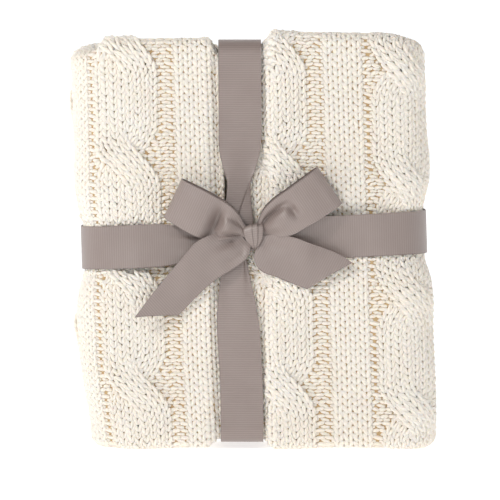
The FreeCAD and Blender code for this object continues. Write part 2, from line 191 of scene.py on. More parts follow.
def relief(tree: bpy.types.NodeTree, depth_mm: float, strength: float,
           height: bpy.types.NodeSocket, **under: bpy.types.NodeSocket) -> bpy.types.NodeSocket:
    """Fine relief in a finish.

    Args:
        tree: the node tree.
        depth_mm: its full depth.
        strength: how much of it shows.
        height: where it stands high.
        under: as Normal, the relief that it lies on.

    Returns:
        The normal.
    """
    return add(tree, "ShaderNodeBump", {"Distance": depth_mm * MM, "Strength": strength},
               {"Height": height, **under}).outputs[0]


def surface(tree: bpy.types.NodeTree, settings: dict, links: dict) -> None:
    """Ends a finish's tree in its shader.

    Args:
        tree: the node tree.
        settings: the shader's values.
        links: sockets that feed it.
    """
    shader = add(tree, "ShaderNodeBsdfPrincipled", settings, links)
    add(tree, "ShaderNodeOutputMaterial", links={"Surface": shader.outputs[0]})


@dataclass(frozen=True)
class YarnFinish:
    """Cotton-blend yarn, loosely spun of three plies and undyed: matt, soft and faintly fuzzy."""

    name: str = "worsted_cotton_yarn"
    light: str = "FBF4EB"
    warm: str = "F7ECDE"
    drift_mm: float = 40.0
    glow: float = 0.35
    glow_mm: float = 1.6
    plies: float = 3.0
    twist_turns: float = 1.1
    twist_depth_mm: float = 0.35
    fuzz_scale_mm: float = 1.3
    fuzz_depth_mm: float = 0.12
    relief_strength: float = 0.6

    def make(self) -> bpy.types.Material:
        """The twist follows each stitch's own axes, kept in the stitch attribute.

        Returns:
            The material.
        """
        material, tree = new_material(self.name)
        grain = add(tree, "ShaderNodeAttribute", {"attribute_name": "stitch"})
        axes = add(tree, "ShaderNodeSeparateXYZ", links={0: grain.outputs["Vector"]})
        around = add(tree, "ShaderNodeMath", {"operation": "ARCTAN2"},
                     {0: axes.outputs["Y"], 1: axes.outputs["X"]})
        ply = add(tree, "ShaderNodeMath", {"operation": "MULTIPLY", 1: self.plies},
                  {0: around.outputs[0]})
        phase = add(tree, "ShaderNodeMath",
                    {"operation": "MULTIPLY_ADD", 1: self.twist_turns * 2 * math.pi},
                    {0: axes.outputs["Z"], 2: ply.outputs[0]})
        strand = add(tree, "ShaderNodeMath", {"operation": "SINE"}, {0: phase.outputs[0]})
        colour = shaded(tree, self.light, self.warm, mottle(tree, self.drift_mm))
        twist = relief(tree, self.twist_depth_mm, self.relief_strength, strand.outputs[0])
        fuzz = relief(tree, self.fuzz_depth_mm, self.relief_strength,
                      mottle(tree, self.fuzz_scale_mm, 3.0), Normal=twist)
        surface(tree, {"Roughness": 0.92, "Specular IOR Level": 0.15, "Sheen Weight": 0.2,
                       "Sheen Roughness": 0.6, "Subsurface Weight": self.glow,
                       "Subsurface Radius": (1.0, 0.82, 0.62),
                       "Subsurface Scale": self.glow_mm * MM},
                {"Base Color": colour, "Normal": fuzz})
        return material


@dataclass(frozen=True)
class PlyShadeFinish:
    """The plies behind the outer stitches: the same knit, seen in the gaps, with their shade painted in warm
    tan.
    """

    name: str = "painted_shade_knit_ply"
    # Both tans are painted shade: the yarn is cream, and these darker colours stand for the shade in the
    # gaps.
    light: str = "DFC79F"
    dark: str = "A17F55"
    pitch_mm: float = 7.0
    depth_mm: float = 1.0

    def make(self) -> bpy.types.Material:
        """The knit's painted shade is only mottled, at the pitch of the stitches.

        Returns:
            The material.
        """
        material, tree = new_material(self.name)
        cells = mottle(tree, self.pitch_mm)
        surface(tree, {"Roughness": 1.0, "Specular IOR Level": 0.0},
                {"Base Color": shaded(tree, self.light, self.dark, cells),
                 "Normal": relief(tree, self.depth_mm, 0.7, cells)})
        return material


@dataclass(frozen=True)
class GrosgrainFinish:
    """Polyester grosgrain: fine crosswise ribs, a low even lustre and a dense woven edge."""

    name: str = "polyester_grosgrain"
    light: str = "9D8F89"
    dark: str = "857671"
    # Real ribs are about 1 mm apart; they are drawn twice as coarse, so that they show.
    rib_mm: float = 2.0
    rib_depth_mm: float = 0.07
    half_width_mm: float = 19.0
    edge_mm: float = 1.0
    drift_mm: float = 25.0
    # How dark it is, from 0 to 1: everywhere, and more in the ribs, the drift and the edge.
    tone: float = 0.45
    rib_tone: float = 0.26
    drift_tone: float = 0.4
    edge_tone: float = 0.2

    def make(self) -> bpy.types.Material:
        """The ribs follow the ribbon's own UV map, in metres along and across.

        Returns:
            The material.
        """
        material, tree = new_material(self.name)
        uv = add(tree, "ShaderNodeUVMap", {"uv_map": "ribbon"})
        split = add(tree, "ShaderNodeSeparateXYZ", links={0: uv.outputs[0]})
        phase = add(tree, "ShaderNodeMath",
                    {"operation": "MULTIPLY", 1: 2 * math.pi / (self.rib_mm * MM)},
                    {0: split.outputs["X"]})
        ribs = add(tree, "ShaderNodeMath", {"operation": "SINE"}, {0: phase.outputs[0]})
        across = add(tree, "ShaderNodeMath", {"operation": "ABSOLUTE"}, {0: split.outputs["Y"]})
        edge = add(tree, "ShaderNodeMath",
                   {"operation": "GREATER_THAN", 1: (self.half_width_mm - self.edge_mm) * MM},
                   {0: across.outputs[0]})
        tone = add(tree, "ShaderNodeMath",
                   {"operation": "MULTIPLY_ADD", 1: self.rib_tone, 2: self.tone},
                   {0: ribs.outputs[0]})
        mixed = add(tree, "ShaderNodeMath", {"operation": "MULTIPLY_ADD", 1: self.drift_tone},
                    {0: mottle(tree, self.drift_mm), 2: tone.outputs[0]})
        dense = add(tree, "ShaderNodeMath",
                    {"operation": "MULTIPLY_ADD", "use_clamp": True, 1: self.edge_tone},
                    {0: edge.outputs[0], 2: mixed.outputs[0]})
        surface(tree, {"Roughness": 0.42, "Specular IOR Level": 0.9, "Sheen Weight": 0.1},
                {"Base Color": shaded(tree, self.light, self.dark, dense.outputs[0]),
                 "Normal": relief(tree, self.rib_depth_mm, 0.55, ribs.outputs[0])})
        return material


@dataclass(frozen=True)
class PaperFinish:
    """Matt white studio paper, lit evenly from behind; its glow fades towards the front."""

    name: str = "white_studio_paper"
    colour: str = "E6E6E6"
    glow: float = 0.62
    dim_glow: float = 0.16
    fade_start: float = -0.8
    fade_end: float = -2.4
    tooth_mm: float = 1 / 0.9
    tooth_depth_mm: float = 0.02

    def make(self) -> bpy.types.Material:
        """The paper has a trace of tooth.

        Returns:
            The material.
        """
        material, tree = new_material(self.name)
        tooth = relief(tree, self.tooth_depth_mm, 0.1, mottle(tree, self.tooth_mm))
        place = add(tree, "ShaderNodeTexCoord")
        spot = add(tree, "ShaderNodeSeparateXYZ", links={0: place.outputs["Object"]})
        glow = add(tree, "ShaderNodeMapRange",
                   {"interpolation_type": "SMOOTHSTEP", "From Min": self.fade_end,
                    "From Max": self.fade_start, "To Min": self.dim_glow, "To Max": self.glow},
                   {"Value": spot.outputs["Y"]})
        surface(tree, {"Base Color": linear(self.colour), "Roughness": 1.0,
                       "Specular IOR Level": 0.0, "Emission Color": linear("FFFFFF")},
                {"Normal": tooth, "Emission Strength": glow.outputs[0]})
        return material


# ---------------------------------------------------------------- meshes


def new_object(name: str, points: np.ndarray, faces: list,
               material: bpy.types.Material | None = None,
               uv: np.ndarray | None = None) -> bpy.types.Object:
    """A mesh object at the origin, from points in millimetres.

    Args:
        name: the piece's name.
        points: one row for each vertex.
        faces: vertex numbers for each face.
        material: its finish.
        uv: one row for each vertex, in metres along and across a ribbon.

    Returns:
        The object, linked to the scene and shaded smooth.
    """
    mesh = bpy.data.meshes.new(name)
    mesh.from_pydata((points * MM).tolist(), [], faces)
    mesh.update()
    if uv is not None:
        layer = mesh.uv_layers.new(name="ribbon")
        loops = np.empty(len(mesh.loops), dtype=np.int32)
        mesh.loops.foreach_get("vertex_index", loops)
        layer.data.foreach_set("uv", uv[loops].astype(np.float32).ravel())
    if len(mesh.polygons):
        mesh.shade_smooth()
    if material:
        mesh.materials.append(material)
    obj = bpy.data.objects.new(name, mesh)
    bpy.context.collection.objects.link(obj)
    return obj


def settle(obj: bpy.types.Object) -> bpy.types.Object:
    """Replaces an object's mesh by the result of its modifiers, and removes them.

    Args:
        obj: the object.

    Returns:
        The same object, with a plain mesh.
    """
    graph = bpy.context.evaluated_depsgraph_get()
    result = bpy.data.meshes.new_from_object(obj.evaluated_get(graph), depsgraph=graph)
    obj.modifiers.clear()
    obj.data = result
    return obj


def grid_faces(rows: int, columns: int, close_rows: bool = False) -> list[tuple[int, ...]]:
    """Faces of a grid whose vertices run along the columns first.

    Args:
        rows: number of rows of vertices.
        columns: vertices in a row.
        close_rows: True where the last row joins the first.

    Returns:
        Vertex numbers of each face.
    """
    faces = []
    for i in range(rows if close_rows else rows - 1):
        j = (i + 1) % rows
        faces += [(i * columns + k, i * columns + k + 1, j * columns + k + 1, j * columns + k)
                  for k in range(columns - 1)]
    return faces


# ---------------------------------------------------------------- the folded strip


@dataclass
class Strip:
    """The four-ply strip as it lies in the stack: its path in plan, its section and its dents.

    A place on it is (along, up, rise). Along is millimetres on the strip's outer surface, from
    the left flap's free edge, round the outside of the stack, through the right flap's turn and
    round the inside. Up is millimetres over its section, from the inside, under the lower lip,
    up the face and over the upper lip. Rise is millimetres off its surface.

    Attributes:
        corner: radius of the stack's corners, outside.
        skin: thickness of the stitches over the plies.
        tuck: how far a lip turns down on the inside.
        lean: how far the stack leans to the left for each millimetre up.
        lean_shift: how far all of it stands to the right.
        left_tuck: how far its lower left corner is drawn in.
        flank_run: how far from the ribbon its pull ends, on the sides.
        face_run: the same on the front and back.
        press_gap: how far outside the ribbon the stitches start to be pressed flat.
        side_ease: how much less than the ribbon's node the sides are pulled in.
        stripe_ease: how much more than it the upright ribbon's bed is.
        top_ease: the same at the top.
        foot_ease: the same at the bottom.
        shoulder: how far the knit swells beside the ribbon.
        shoulder_out: how far outside the pull that is.
        shoulder_width: its width.
        sample: step along the path.
        table: the path, by column.
    """

    corner: float = 32.0
    skin: float = 2.3
    tuck: float = 14.0
    lean: float = 0.031
    lean_shift: float = 2.7
    left_tuck: float = 7.0
    flank_run: float = 30.0
    face_run: float = 13.0
    press_gap: float = 6.0
    side_ease: float = 1.5
    stripe_ease: float = 3.3
    top_ease: float = 5.0
    foot_ease: float = 1.0
    shoulder: float = 1.6
    shoulder_out: float = 14.0
    shoulder_width: float = 16.0
    sample: float = 0.5
    table: dict = field(default_factory=dict)

    def __post_init__(self) -> None:
        """Reads the frame's sizes and lays out the path."""
        left_low, left_high = node_box("left_flap_outer_leaf")
        back_low, back_high = node_box("back_outer_leaf")
        self.front, self.back = left_low[1], back_high[1]
        self.leaf = back_high[1] - back_low[1]
        self.height = left_high[2]
        self.selvedge = left_high[0]
        self.inner_selvedge = node_box("left_flap_inner_leaf")[1][0]
        self.side = node_box("right_fold_outer")[1][0]
        self.turn_x = node_box("right_flap_turn")[1][0]
        left, right = (node_box(f"ribbon_across_{side}_side") for side in ("left", "right"))
        mids = [(low + high) / 2 for low, high in (left, right)]
        self.tie_slope = (mids[1][2] - mids[0][2]) / (mids[1][0] - mids[0][0])
        self.tie_z = (mids[0][2] + mids[1][2]) / 2
        top_low, top_high = node_box("ribbon_up_top")
        self.tie_x = (top_low[0] + top_high[0]) / 2
        self.tie_half = (top_high[0] - top_low[0]) / 2
        self.pull_end = self.height - top_high[2]
        self.pull_side = self.side - node_box("ribbon_across_right_side")[1][0]
        self.pull_face = node_box("ribbon_across_front_right")[0][1] - self.front
        self.round = self.leaf / 2 - self.skin
        self.lay_path()
        self.lay_section()

    def lay_path(self) -> None:
        """Walks the strip's middle line in plan, in short steps, and keeps it as a table."""
        half = self.leaf / 2
        flat = self.side - self.corner
        flank = self.back - self.front - 2 * self.corner
        bend = self.corner - half
        inner_flat = self.side - self.leaf - half - half
        quarter = math.pi / 2
        # Each stretch: its length or the radius of its middle line, its turn in quarter circles,
        # and the length that it counts for along the strip.
        corner = (bend, -1, self.corner * quarter)
        inner = (half, 2, math.pi * half)
        stretches = [(flat + self.selvedge, 0, None), corner, (flank, 0, None), corner,
                     (2 * flat, 0, None), corner, (flank, 0, None), corner,
                     (flat - self.turn_x, 0, None), (half, -2, math.pi * half * 1.5),
                     (inner_flat - self.turn_x, 0, None), inner, (2 * inner_flat, 0, None), inner,
                     (inner_flat + self.inner_selvedge, 0, None)]
        x, y, heading, along = self.selvedge, self.front + half, math.pi, 0.0
        rows = [(along, x, y, heading)]
        self.marks = [0.0]
        for size, turn, counted in stretches:
            length = size if turn == 0 else size * abs(turn) * quarter
            counted = length if counted is None else counted
            steps = max(2, int(length / self.sample))
            for _ in range(steps):
                mid = heading + turn * quarter / steps / 2
                x += math.cos(mid) * length / steps
                y += math.sin(mid) * length / steps
                heading += turn * quarter / steps
                along += counted / steps
                rows.append((along, x, y, heading))
            self.marks.append(along)
        columns = np.array(rows).T
        self.table = dict(zip(("along", "x", "y", "heading"), columns))
        self.outer_end = self.marks[10]
        self.length = along

    def lay_section(self) -> None:
        """Lengths along the section at which the tuck, the lips and the face meet."""
        arch = math.pi * self.round
        face = self.height - 2 * (self.round + self.skin)
        self.steps = np.cumsum([0, self.tuck, arch, face, arch, self.tuck])

    def crown(self, along: np.ndarray) -> np.ndarray:
        """How high the upper lip's top stands.

        Args:
            along: places along the strip.

        Returns:
            Heights.
        """
        m = self.marks
        spots = [0, m[1] - 3, m[1] + 12, (m[2] + m[3]) / 2, m[4] + 20, (m[5] + m[4]) / 2, m[5] - 20,
                 (m[6] + m[7]) / 2, m[8] + 12, m[9] - 20, m[10], m[10] + 60, self.length]
        tops = [-3, -4, -14, -17, -5, -3, -4, -10, 1, 3, 1, -7, -8]
        return self.height + np.interp(along, spots, tops)

    def section(self, along: np.ndarray,
                up: np.ndarray) -> tuple[np.ndarray, np.ndarray, np.ndarray]:
        """The strip's section.

        Args:
            along: places along the strip.
            up: places over the section.

        Returns:
            Distance out from the middle line, height, and the surface's slope as an angle that is
            0 where it faces out and a right angle where it faces up.
        """
        a, b, c, d, _ = self.steps[1:]
        r = self.round
        low_angle = -math.pi + np.clip((up - a) / r, 0, math.pi)
        high_angle = np.clip((up - c) / r, 0, math.pi)
        top = self.crown(along) - self.skin - r
        foot = self.skin + r
        angle = np.where(up < b, low_angle, high_angle)
        out = r * np.cos(angle)
        level = np.where(up < b, foot, top)
        face = foot + (up - b) / (c - b) * (top - foot)
        height = np.where((up > b) & (up < c), face, level + r * np.sin(angle))
        height = np.where(up < a, foot + (a - up), height)
        height = np.where(up > d, top - (up - d), height)
        return out, height, angle

    def leaning(self, x: np.ndarray, z: np.ndarray) -> np.ndarray:
        """Where the stack's lean and its drawn-in lower left corner move a place across it."""
        lean = self.lean_shift - self.lean * (z - self.height / 2)
        return x + lean + self.left_tuck * smooth(z, 95, 0) * smooth(x, 0, -self.side)

    def press(self, x: np.ndarray, z: np.ndarray, flank: np.ndarray) -> np.ndarray:
        """How much the ribbon presses the stitches flat.

        Args:
            x: places across the stack.
            z: places up it.
            flank: 0 where the surface faces the front or back and 1 where it faces a side.

        Returns:
            1 under the ribbon, falling to 0 a little outside it.
        """
        start, full = self.tie_half + self.press_gap, self.tie_half + 1
        across = np.abs(z - self.tie_z - self.tie_slope * x)
        up = np.abs(x - self.tie_x)
        return np.maximum(smooth(across, start, full), smooth(up, start, full) * (1 - flank))

    def dent(self, x: np.ndarray, z: np.ndarray, flank: np.ndarray) -> np.ndarray:
        """How far the ribbon draws the surface in.

        Args:
            x: places across the stack.
            z: places up it.
            flank: 0 where the surface faces the front or back and 1 where it faces a side.

        Returns:
            Millimetres inwards.
        """
        across = np.abs(z - self.tie_z - self.tie_slope * x)
        run = self.face_run + (self.flank_run - self.face_run) * flank
        reach = np.clip((across - self.tie_half) / run, 0, 1)
        band = 0.5 + 0.5 * np.cos(math.pi * reach)
        depth = self.pull_face + (self.pull_side - self.side_ease - self.pull_face) * flank
        up = np.clip((np.abs(x - self.tie_x) - self.tie_half) / self.face_run, 0, 1)
        stripe = (0.5 + 0.5 * np.cos(math.pi * up)) * (1 - flank)
        beside = across - self.tie_half - run - self.shoulder_out
        shoulder = self.shoulder * np.exp(-(beside / self.shoulder_width) ** 2)
        bed = (self.pull_face + self.stripe_ease) * stripe
        return np.maximum(depth * band, bed) - shoulder * (1 - stripe)

    def swell(self, along: np.ndarray, z: np.ndarray) -> np.ndarray:
        """The slow unevenness of hand-folded knit."""
        return (1.0 * np.sin(along / 31 + z / 57 + 0.6) + 0.8 * np.sin(z / 41 - along / 73 + 2.1)
                + 0.5 * np.sin(along / 17 + 1.3) * np.sin(z / 29 + 0.4))

    def place(self, along: np.ndarray, up: np.ndarray, rise: np.ndarray) -> np.ndarray:
        """Points of space for places on the strip.

        Args:
            along: millimetres along the strip.
            up: millimetres over its section.
            rise: millimetres off its surface.

        Returns:
            One row for each place, in millimetres.
        """
        t = self.table
        x0, y0, heading = (np.interp(along, t["along"], t[key]) for key in ("x", "y", "heading"))
        beyond = np.maximum(along - self.length, 0) + np.minimum(along, 0)
        nx, ny = -np.sin(heading), np.cos(heading)
        out, z, angle = self.section(along, up)
        outer = smooth(along, self.outer_end, self.outer_end - 30)
        flank = nx * nx * outer
        weight = outer * np.clip(0.5 + out / self.leaf, 0, 1)
        x = self.leaning(x0 + nx * out + np.cos(heading) * beyond, z)
        y = y0 + ny * out + np.sin(heading) * beyond
        pressed = self.press(x, z, flank) * outer
        rise = np.where(rise > 0, rise * (1 - pressed), rise)
        x = x + nx * rise * np.cos(angle)
        y = y + ny * rise * np.cos(angle)
        inward = self.dent(x, z, flank) * weight
        z = z + rise * np.sin(angle)
        swell = self.swell(along, z) * weight * smooth(z, 0, 40) * (1 - pressed)
        x = x + nx * (swell - inward)
        y = y + ny * (swell - inward)
        tied = 1 - smooth(np.abs(x - self.tie_x), self.tie_half, self.tie_half + self.face_run)
        # The ribbon pulls the top down and the bottom up, over the same height of each.
        start, full = 34, 14
        top = (self.pull_end + self.top_ease) * tied
        foot = (self.pull_end + self.foot_ease) * tied
        z = z - top * smooth(z, self.height - start, self.height - full) \
            + foot * smooth(z, start, full)
        return np.stack([x, y, np.maximum(z, 0.2)], axis=-1)


# ---------------------------------------------------------------- the knitting


class Stitch(Enum):
    """The kinds of column in the knitting."""

    KNIT = "knit"
    PURL = "purl"
    CABLE = "cable"


@dataclass
class Column:
    """One wale, or one whole cable.

    Attributes:
        kind: what it is.
        start: where it starts along the strip.
        width: how wide it is.
        crossing: height of one of its crossings, for a cable.
        lag: how far above that height a cable's back strand crosses.
        before: the column before it along the strip.
        after: the column after it.
    """

    kind: Stitch
    start: float
    width: float
    crossing: float = 0.0
    lag: float = 0.0
    before: "Column | None" = None
    after: "Column | None" = None


@dataclass
class Knitting:
    """Rows and columns of stitches over the strip, each leg of a stitch one plump grain of yarn.

    Attributes:
        strip: what it covers.
        course: height of a stitch.
        knit_width: width of a plain wale.
        edge_width: width of the wale at the left selvedge.
        cable_width: width of a cable.
        purl_width: width of a purl wale.
        crossing: height of the cables' crossings.
        crossing_period: height from one crossing to the next.
        crossing_reach: how far above and below its middle a crossing goes.
        crossing_spread: how far its bulge goes.
        crossing_lag: how far above the front strand the back one crosses.
        dome: how far a cable stands off the surface.
        yarn: thickness of the yarn.
        leg_angle: slope of a stitch's legs, in degrees.
        leg_half: half a leg's width as a part of half its wale's.
        leg_length: half a leg's length as a part of its course.
        grain_bow: how far a grain is bowed, as a part of its half thickness.
        fullness: scales every grain about its centre.
        seed: of the small differences between stitches.
        grain_sides: sides of a grain.
        grain_rings: steps along it.
    """

    strip: Strip
    course: float = 6.35
    knit_width: float = 8.25
    edge_width: float = 5.8
    cable_width: float = 55.5
    purl_width: float = 8.0
    crossing: float = 255.0
    crossing_period: float = 101.0
    crossing_reach: float = 25.0
    crossing_spread: float = 19.0
    crossing_lag: float = 6.0
    dome: float = 3.2
    yarn: float = 4.0
    leg_angle: float = 21.0
    leg_half: float = 0.545
    leg_length: float = 0.72
    grain_bow: float = 0.16
    fullness: float = 1.0
    seed: int = 11
    grain_sides: int = 8
    grain_rings: int = 6

    def __post_init__(self) -> None:
        """Starts the random draws and lays out the columns."""
        self.random = np.random.default_rng(self.seed)
        self.columns = self.lay_columns()

    def lay_columns(self) -> list[Column]:
        """Plain bands, purl gutters and cables, in order.

        Returns:
            Columns along the strip.
        """
        strip = self.strip
        m = strip.marks
        wide, cable, purl = self.knit_width, self.cable_width, self.purl_width
        band = [(Stitch.KNIT, wide)] * 4
        gutter = [(Stitch.PURL, 2 * purl)]
        narrow = [(Stitch.PURL, purl)]
        rope = [(Stitch.CABLE, cable)]
        left = [(Stitch.KNIT, self.edge_width)] + band + gutter + rope + narrow + band
        unit_columns = gutter + rope + gutter + band
        # The right flap is laid out back from its turn, and the back takes up what is between.
        turn = [(Stitch.KNIT, wide)] * 3 + gutter
        right = rope + narrow + [(Stitch.KNIT, wide * 1.04)] * 4 + gutter + [(Stitch.CABLE, 56.5)]
        right_length = sum(width for _, width in right)
        cable_edge = m[9] + strip.turn_x + 6.6
        right_start = cable_edge - right_length
        left_end = sum(width for _, width in left)
        middle = unit_columns * 3 + gutter
        stretch = (right_start - left_end) / sum(width for _, width in middle)
        rest = gutter + narrow + (gutter + band + gutter + rope) * 5
        middle = [(kind, width * stretch) for kind, width in middle]
        columns, start = [], 0.0
        for kind, width in left + middle + right + turn[::-1] + rest:
            if start + width + wide > strip.length:
                break
            columns.append(Column(kind, start, width, self.crossing, self.crossing_lag))
            start += width
        while start + wide / 2 < strip.length:
            width = min(wide, strip.length - start)
            columns.append(Column(Stitch.KNIT, start, width))
            start += width
        # The cables on the two flaps cross at their own heights.
        ropes = [column for column in columns if column.kind is Stitch.CABLE]
        ropes[0].lag = 12.0
        ropes[1].crossing = 214.0
        front_right = [c for c in ropes if right_start - 1 < c.start < m[9]]
        front_right[0].crossing, front_right[0].lag = 238.0, -7.0
        for before, here, after in zip(columns, columns[1:], columns[2:]):
            here.before, here.after = before, after
        return columns

    def phase(self, height: np.ndarray, crossing: float) -> np.ndarray:
        """Distance up from the nearest crossing of a cable."""
        period = self.crossing_period
        return (height - crossing + period / 2) % period - period / 2

    def strand(self, phase: np.ndarray, wale: np.ndarray, front: bool, width: float,
               lag: float) -> tuple[np.ndarray, np.ndarray]:
        """Where one wale of a cable's strand runs.

        Args:
            phase: distance up from the crossing.
            wale: its number in its strand, from 0 to 3.
            front: True for the strand that passes over.
            width: the cable's width.
            lag: how much higher the back strand crosses.

        Returns:
            Its place across the cable, from the cable's middle, and its rise.
        """
        pitch = width / 8
        late = 0.0 if front else lag
        swing = np.sin(np.clip((phase - late) / self.crossing_reach, -1, 1) * math.pi / 2)
        near = np.exp(-(phase / self.crossing_spread) ** 2)
        side = -1.0 if front else 1.0
        squeeze = 1 + (0.3 if front else 0.12) * near
        across = pitch * (side * 2.0 * swing + (wale - 1.5) * squeeze)
        crest = 1 - ((wale - 1.5) / 2.1) ** 2
        dome = self.dome * (1 - np.clip(np.abs(across) / (width / 2), 0, 1) ** 2)
        lift = (2.4 + 1.8 * crest) * near if front else -1.6 * near
        return across, dome * (1 - 0.45 * near) + lift

    def legs(self, along: np.ndarray, up: np.ndarray, rise: np.ndarray, slope: np.ndarray,
             climb: np.ndarray, width: np.ndarray) -> list[np.ndarray]:
        """The two legs of each stitch of a wale.

        Args:
            along: each stitch's place along the strip.
            up: its place over the section.
            rise: its height off the surface.
            slope: how far its wale moves along the strip for each millimetre up.
            climb: how far it rises for each millimetre up.
            width: its width.

        Returns:
            For each leg: centres, and the three axes of its grain at their half sizes.
        """
        strip, step = self.strip, 1.0
        here = strip.place(along, up, rise)
        ahead = strip.place(along + slope * step, up + step, rise + climb * step)
        behind = strip.place(along - slope * step, up - step, rise - climb * step)
        beside = strip.place(along + step, up, rise)
        other = strip.place(along - step, up, rise)
        wale = (ahead - behind) / (2 * step)
        across = (beside - other) / (2 * step)
        normal = unit(np.cross(across, wale))
        stretch = np.linalg.norm(wale, axis=1, keepdims=True)
        wale = unit(wale)
        across_size = np.linalg.norm(across, axis=1, keepdims=True)
        across = unit(np.cross(wale, normal))
        half_width = width[:, None] * np.clip(across_size, 0.6, 1.7) / 2
        spread = math.radians(self.leg_angle) * (1 - 0.5 * np.clip(np.abs(slope), 0, 1))[:, None]
        result = []
        count = len(along)
        for side in (-1, 1):
            tilt = spread + self.random.normal(0, 0.045, (count, 1))
            lean_vector = np.cos(tilt) * wale + side * np.sin(tilt) * across
            flat = np.cos(tilt) * across - side * np.sin(tilt) * wale
            size = 1 + self.random.normal(0, 0.035, (count, 1))
            centre = here + side * across * half_width * 0.5 + normal * 0.35
            centre = centre + self.random.normal(0, 0.12, (count, 3))
            length = self.course * stretch * self.leg_length * size
            thick = np.full((count, 1), self.yarn / 2) * size
            # A grain is as wide as its wale allows, so a stretched knit's is wider.
            wide = half_width * self.leg_half * size
            result.append((centre, flat * wide, normal * thick, lean_vector * length))
        return result

    def column_grains(self, column: Column, rows: np.ndarray) -> list:
        """Every grain of one column.

        Args:
            column: the wale, gutter or cable.
            rows: places of its stitches over the section.

        Returns:
            Groups of centres and axes, as legs gives them.
        """
        strip = self.strip
        middle = np.full(len(rows), column.start + column.width / 2)
        height = strip.section(middle, rows)[1]
        zero = np.zeros(len(rows))
        if column.kind is Stitch.KNIT:
            return self.legs(middle, rows, zero, zero, zero, np.full(len(rows), column.width))
        if column.kind is Stitch.PURL:
            return self.purl_grains(column, rows)
        groups = []
        phase = self.phase(height, column.crossing)
        # Over the lips the knit is stretched flatter.
        start, full, stretched = 22, 6, 0.6
        flat = (1 - stretched * smooth(height, strip.height - start, strip.height - full)
                - stretched * smooth(height, start, full))
        step = 0.5
        for front in (False, True):
            for number in range(4):
                wale = np.full(len(rows), float(number))
                shift = (number % 2) * self.course / 2
                across, rise = self.strand(phase + shift, wale, front, column.width, column.lag)
                next_across, next_rise = self.strand(phase + shift + step, wale, front,
                                                     column.width, column.lag)
                slope = (next_across - across) / step
                climb = (next_rise - rise) / step * flat
                rise = rise * flat
                width = np.full(len(rows), column.width / 8 * 1.04)
                groups += self.legs(middle - across, rows + shift, rise, -slope, climb, width)
        return groups

    def cable_edge(self, cable: Column, height: np.ndarray, far: bool) -> np.ndarray:
        """Where a cable's edge runs.

        Args:
            cable: the cable.
            height: heights to read it at.
            far: True for the edge further along the strip.

        Returns:
            Places along the strip.
        """
        phase = self.phase(height, cable.crossing)
        # Across a cable is measured against the strip, so its far edge has the smallest values.
        wale = 0.0 if far else 3.0
        sides = [self.strand(phase, np.full(len(height), wale), front, cable.width, cable.lag)[0]
                 for front in (True, False)]
        half_wale = cable.width / 16
        edge = np.minimum(*sides) - half_wale if far else np.maximum(*sides) + half_wale
        return cable.start + cable.width / 2 - edge

    def purl_grains(self, column: Column, rows: np.ndarray) -> list:
        """A gutter: courses of beads laid like bricks, fanning out into the cables' waists.

        Args:
            column: the gutter.
            rows: places of its stitches over the section.

        Returns:
            Groups of centres and axes, as legs gives them.
        """
        groups = []
        bead = self.purl_width * 0.9
        for odd, rise, scale in ((0, -0.2, 1.0), (1, -1.1, 0.95)):
            up = rows + odd * self.course / 2
            near_edge = np.full(len(up), column.start)
            far_edge = near_edge + column.width
            level = self.strip.section(near_edge, up)[1]
            if column.before is not None and column.before.kind is Stitch.CABLE:
                near_edge = self.cable_edge(column.before, level, True)
            if column.after is not None and column.after.kind is Stitch.CABLE:
                far_edge = self.cable_edge(column.after, level, False)
            span = far_edge - near_edge
            count = np.maximum(1, np.round(span / bead)).astype(int)
            for k in range(int(count.max()) + odd):
                used = k < count + odd
                place = np.clip((k + 0.5 - 0.5 * odd) / count, 0.0, 1.0)
                half = span / count / 2 * (1 - 0.35 * odd * ((k == 0) | (k == count)))
                along = near_edge + span * place
                groups.append(self.beads(along[used], up[used], rise, half[used], scale,
                                         0.16 * (1 - 2 * ((k + odd) % 2))))
        return groups

    def beads(self, along: np.ndarray, up: np.ndarray, rise: float, half: np.ndarray, scale: float,
              tilt: float) -> tuple:
        """Beads of yarn that lie across.

        Args:
            along: their places along the strip.
            up: their places over the section.
            rise: their height off the surface.
            half: half their lengths.
            scale: their thickness as a part of the yarn's.
            tilt: their slope, as an angle.

        Returns:
            Centres and axes, as legs gives them.
        """
        strip, count = self.strip, len(along)
        level = np.full(count, rise)
        here = strip.place(along, up, level)
        across = strip.place(along + 1, up, level) - here
        stretch = np.clip(np.linalg.norm(across, axis=1, keepdims=True), 0.6, 1.5)
        wale = unit(strip.place(along, up + 1, level) - here)
        normal = unit(np.cross(across, wale))
        across = unit(across)
        turn = tilt + self.random.normal(0, 0.09, (count, 1))
        size = scale * (1 + self.random.normal(0, 0.05, (count, 1)))
        long = (np.cos(turn) * across + np.sin(turn) * wale) * half[:, None] * 1.12 * stretch
        flat = (np.cos(turn) * wale - np.sin(turn) * across) * self.yarn * 0.47 * size
        return here + normal * 0.2, flat, normal * self.yarn * 0.48 * size, long

    def rows(self, column: Column) -> np.ndarray:
        """Where a column's stitches lie: over all of the section outside, on the lips inside.

        Args:
            column: the column.

        Returns:
            Places over the section.
        """
        strip = self.strip
        count = round(strip.steps[-1] / self.course)
        rows = (np.arange(count) + 0.5) * strip.steps[-1] / count
        if column.start > strip.outer_end:
            rows = rows[(rows < strip.steps[2] + strip.tuck) | (rows > strip.steps[3] - strip.tuck)]
        return rows

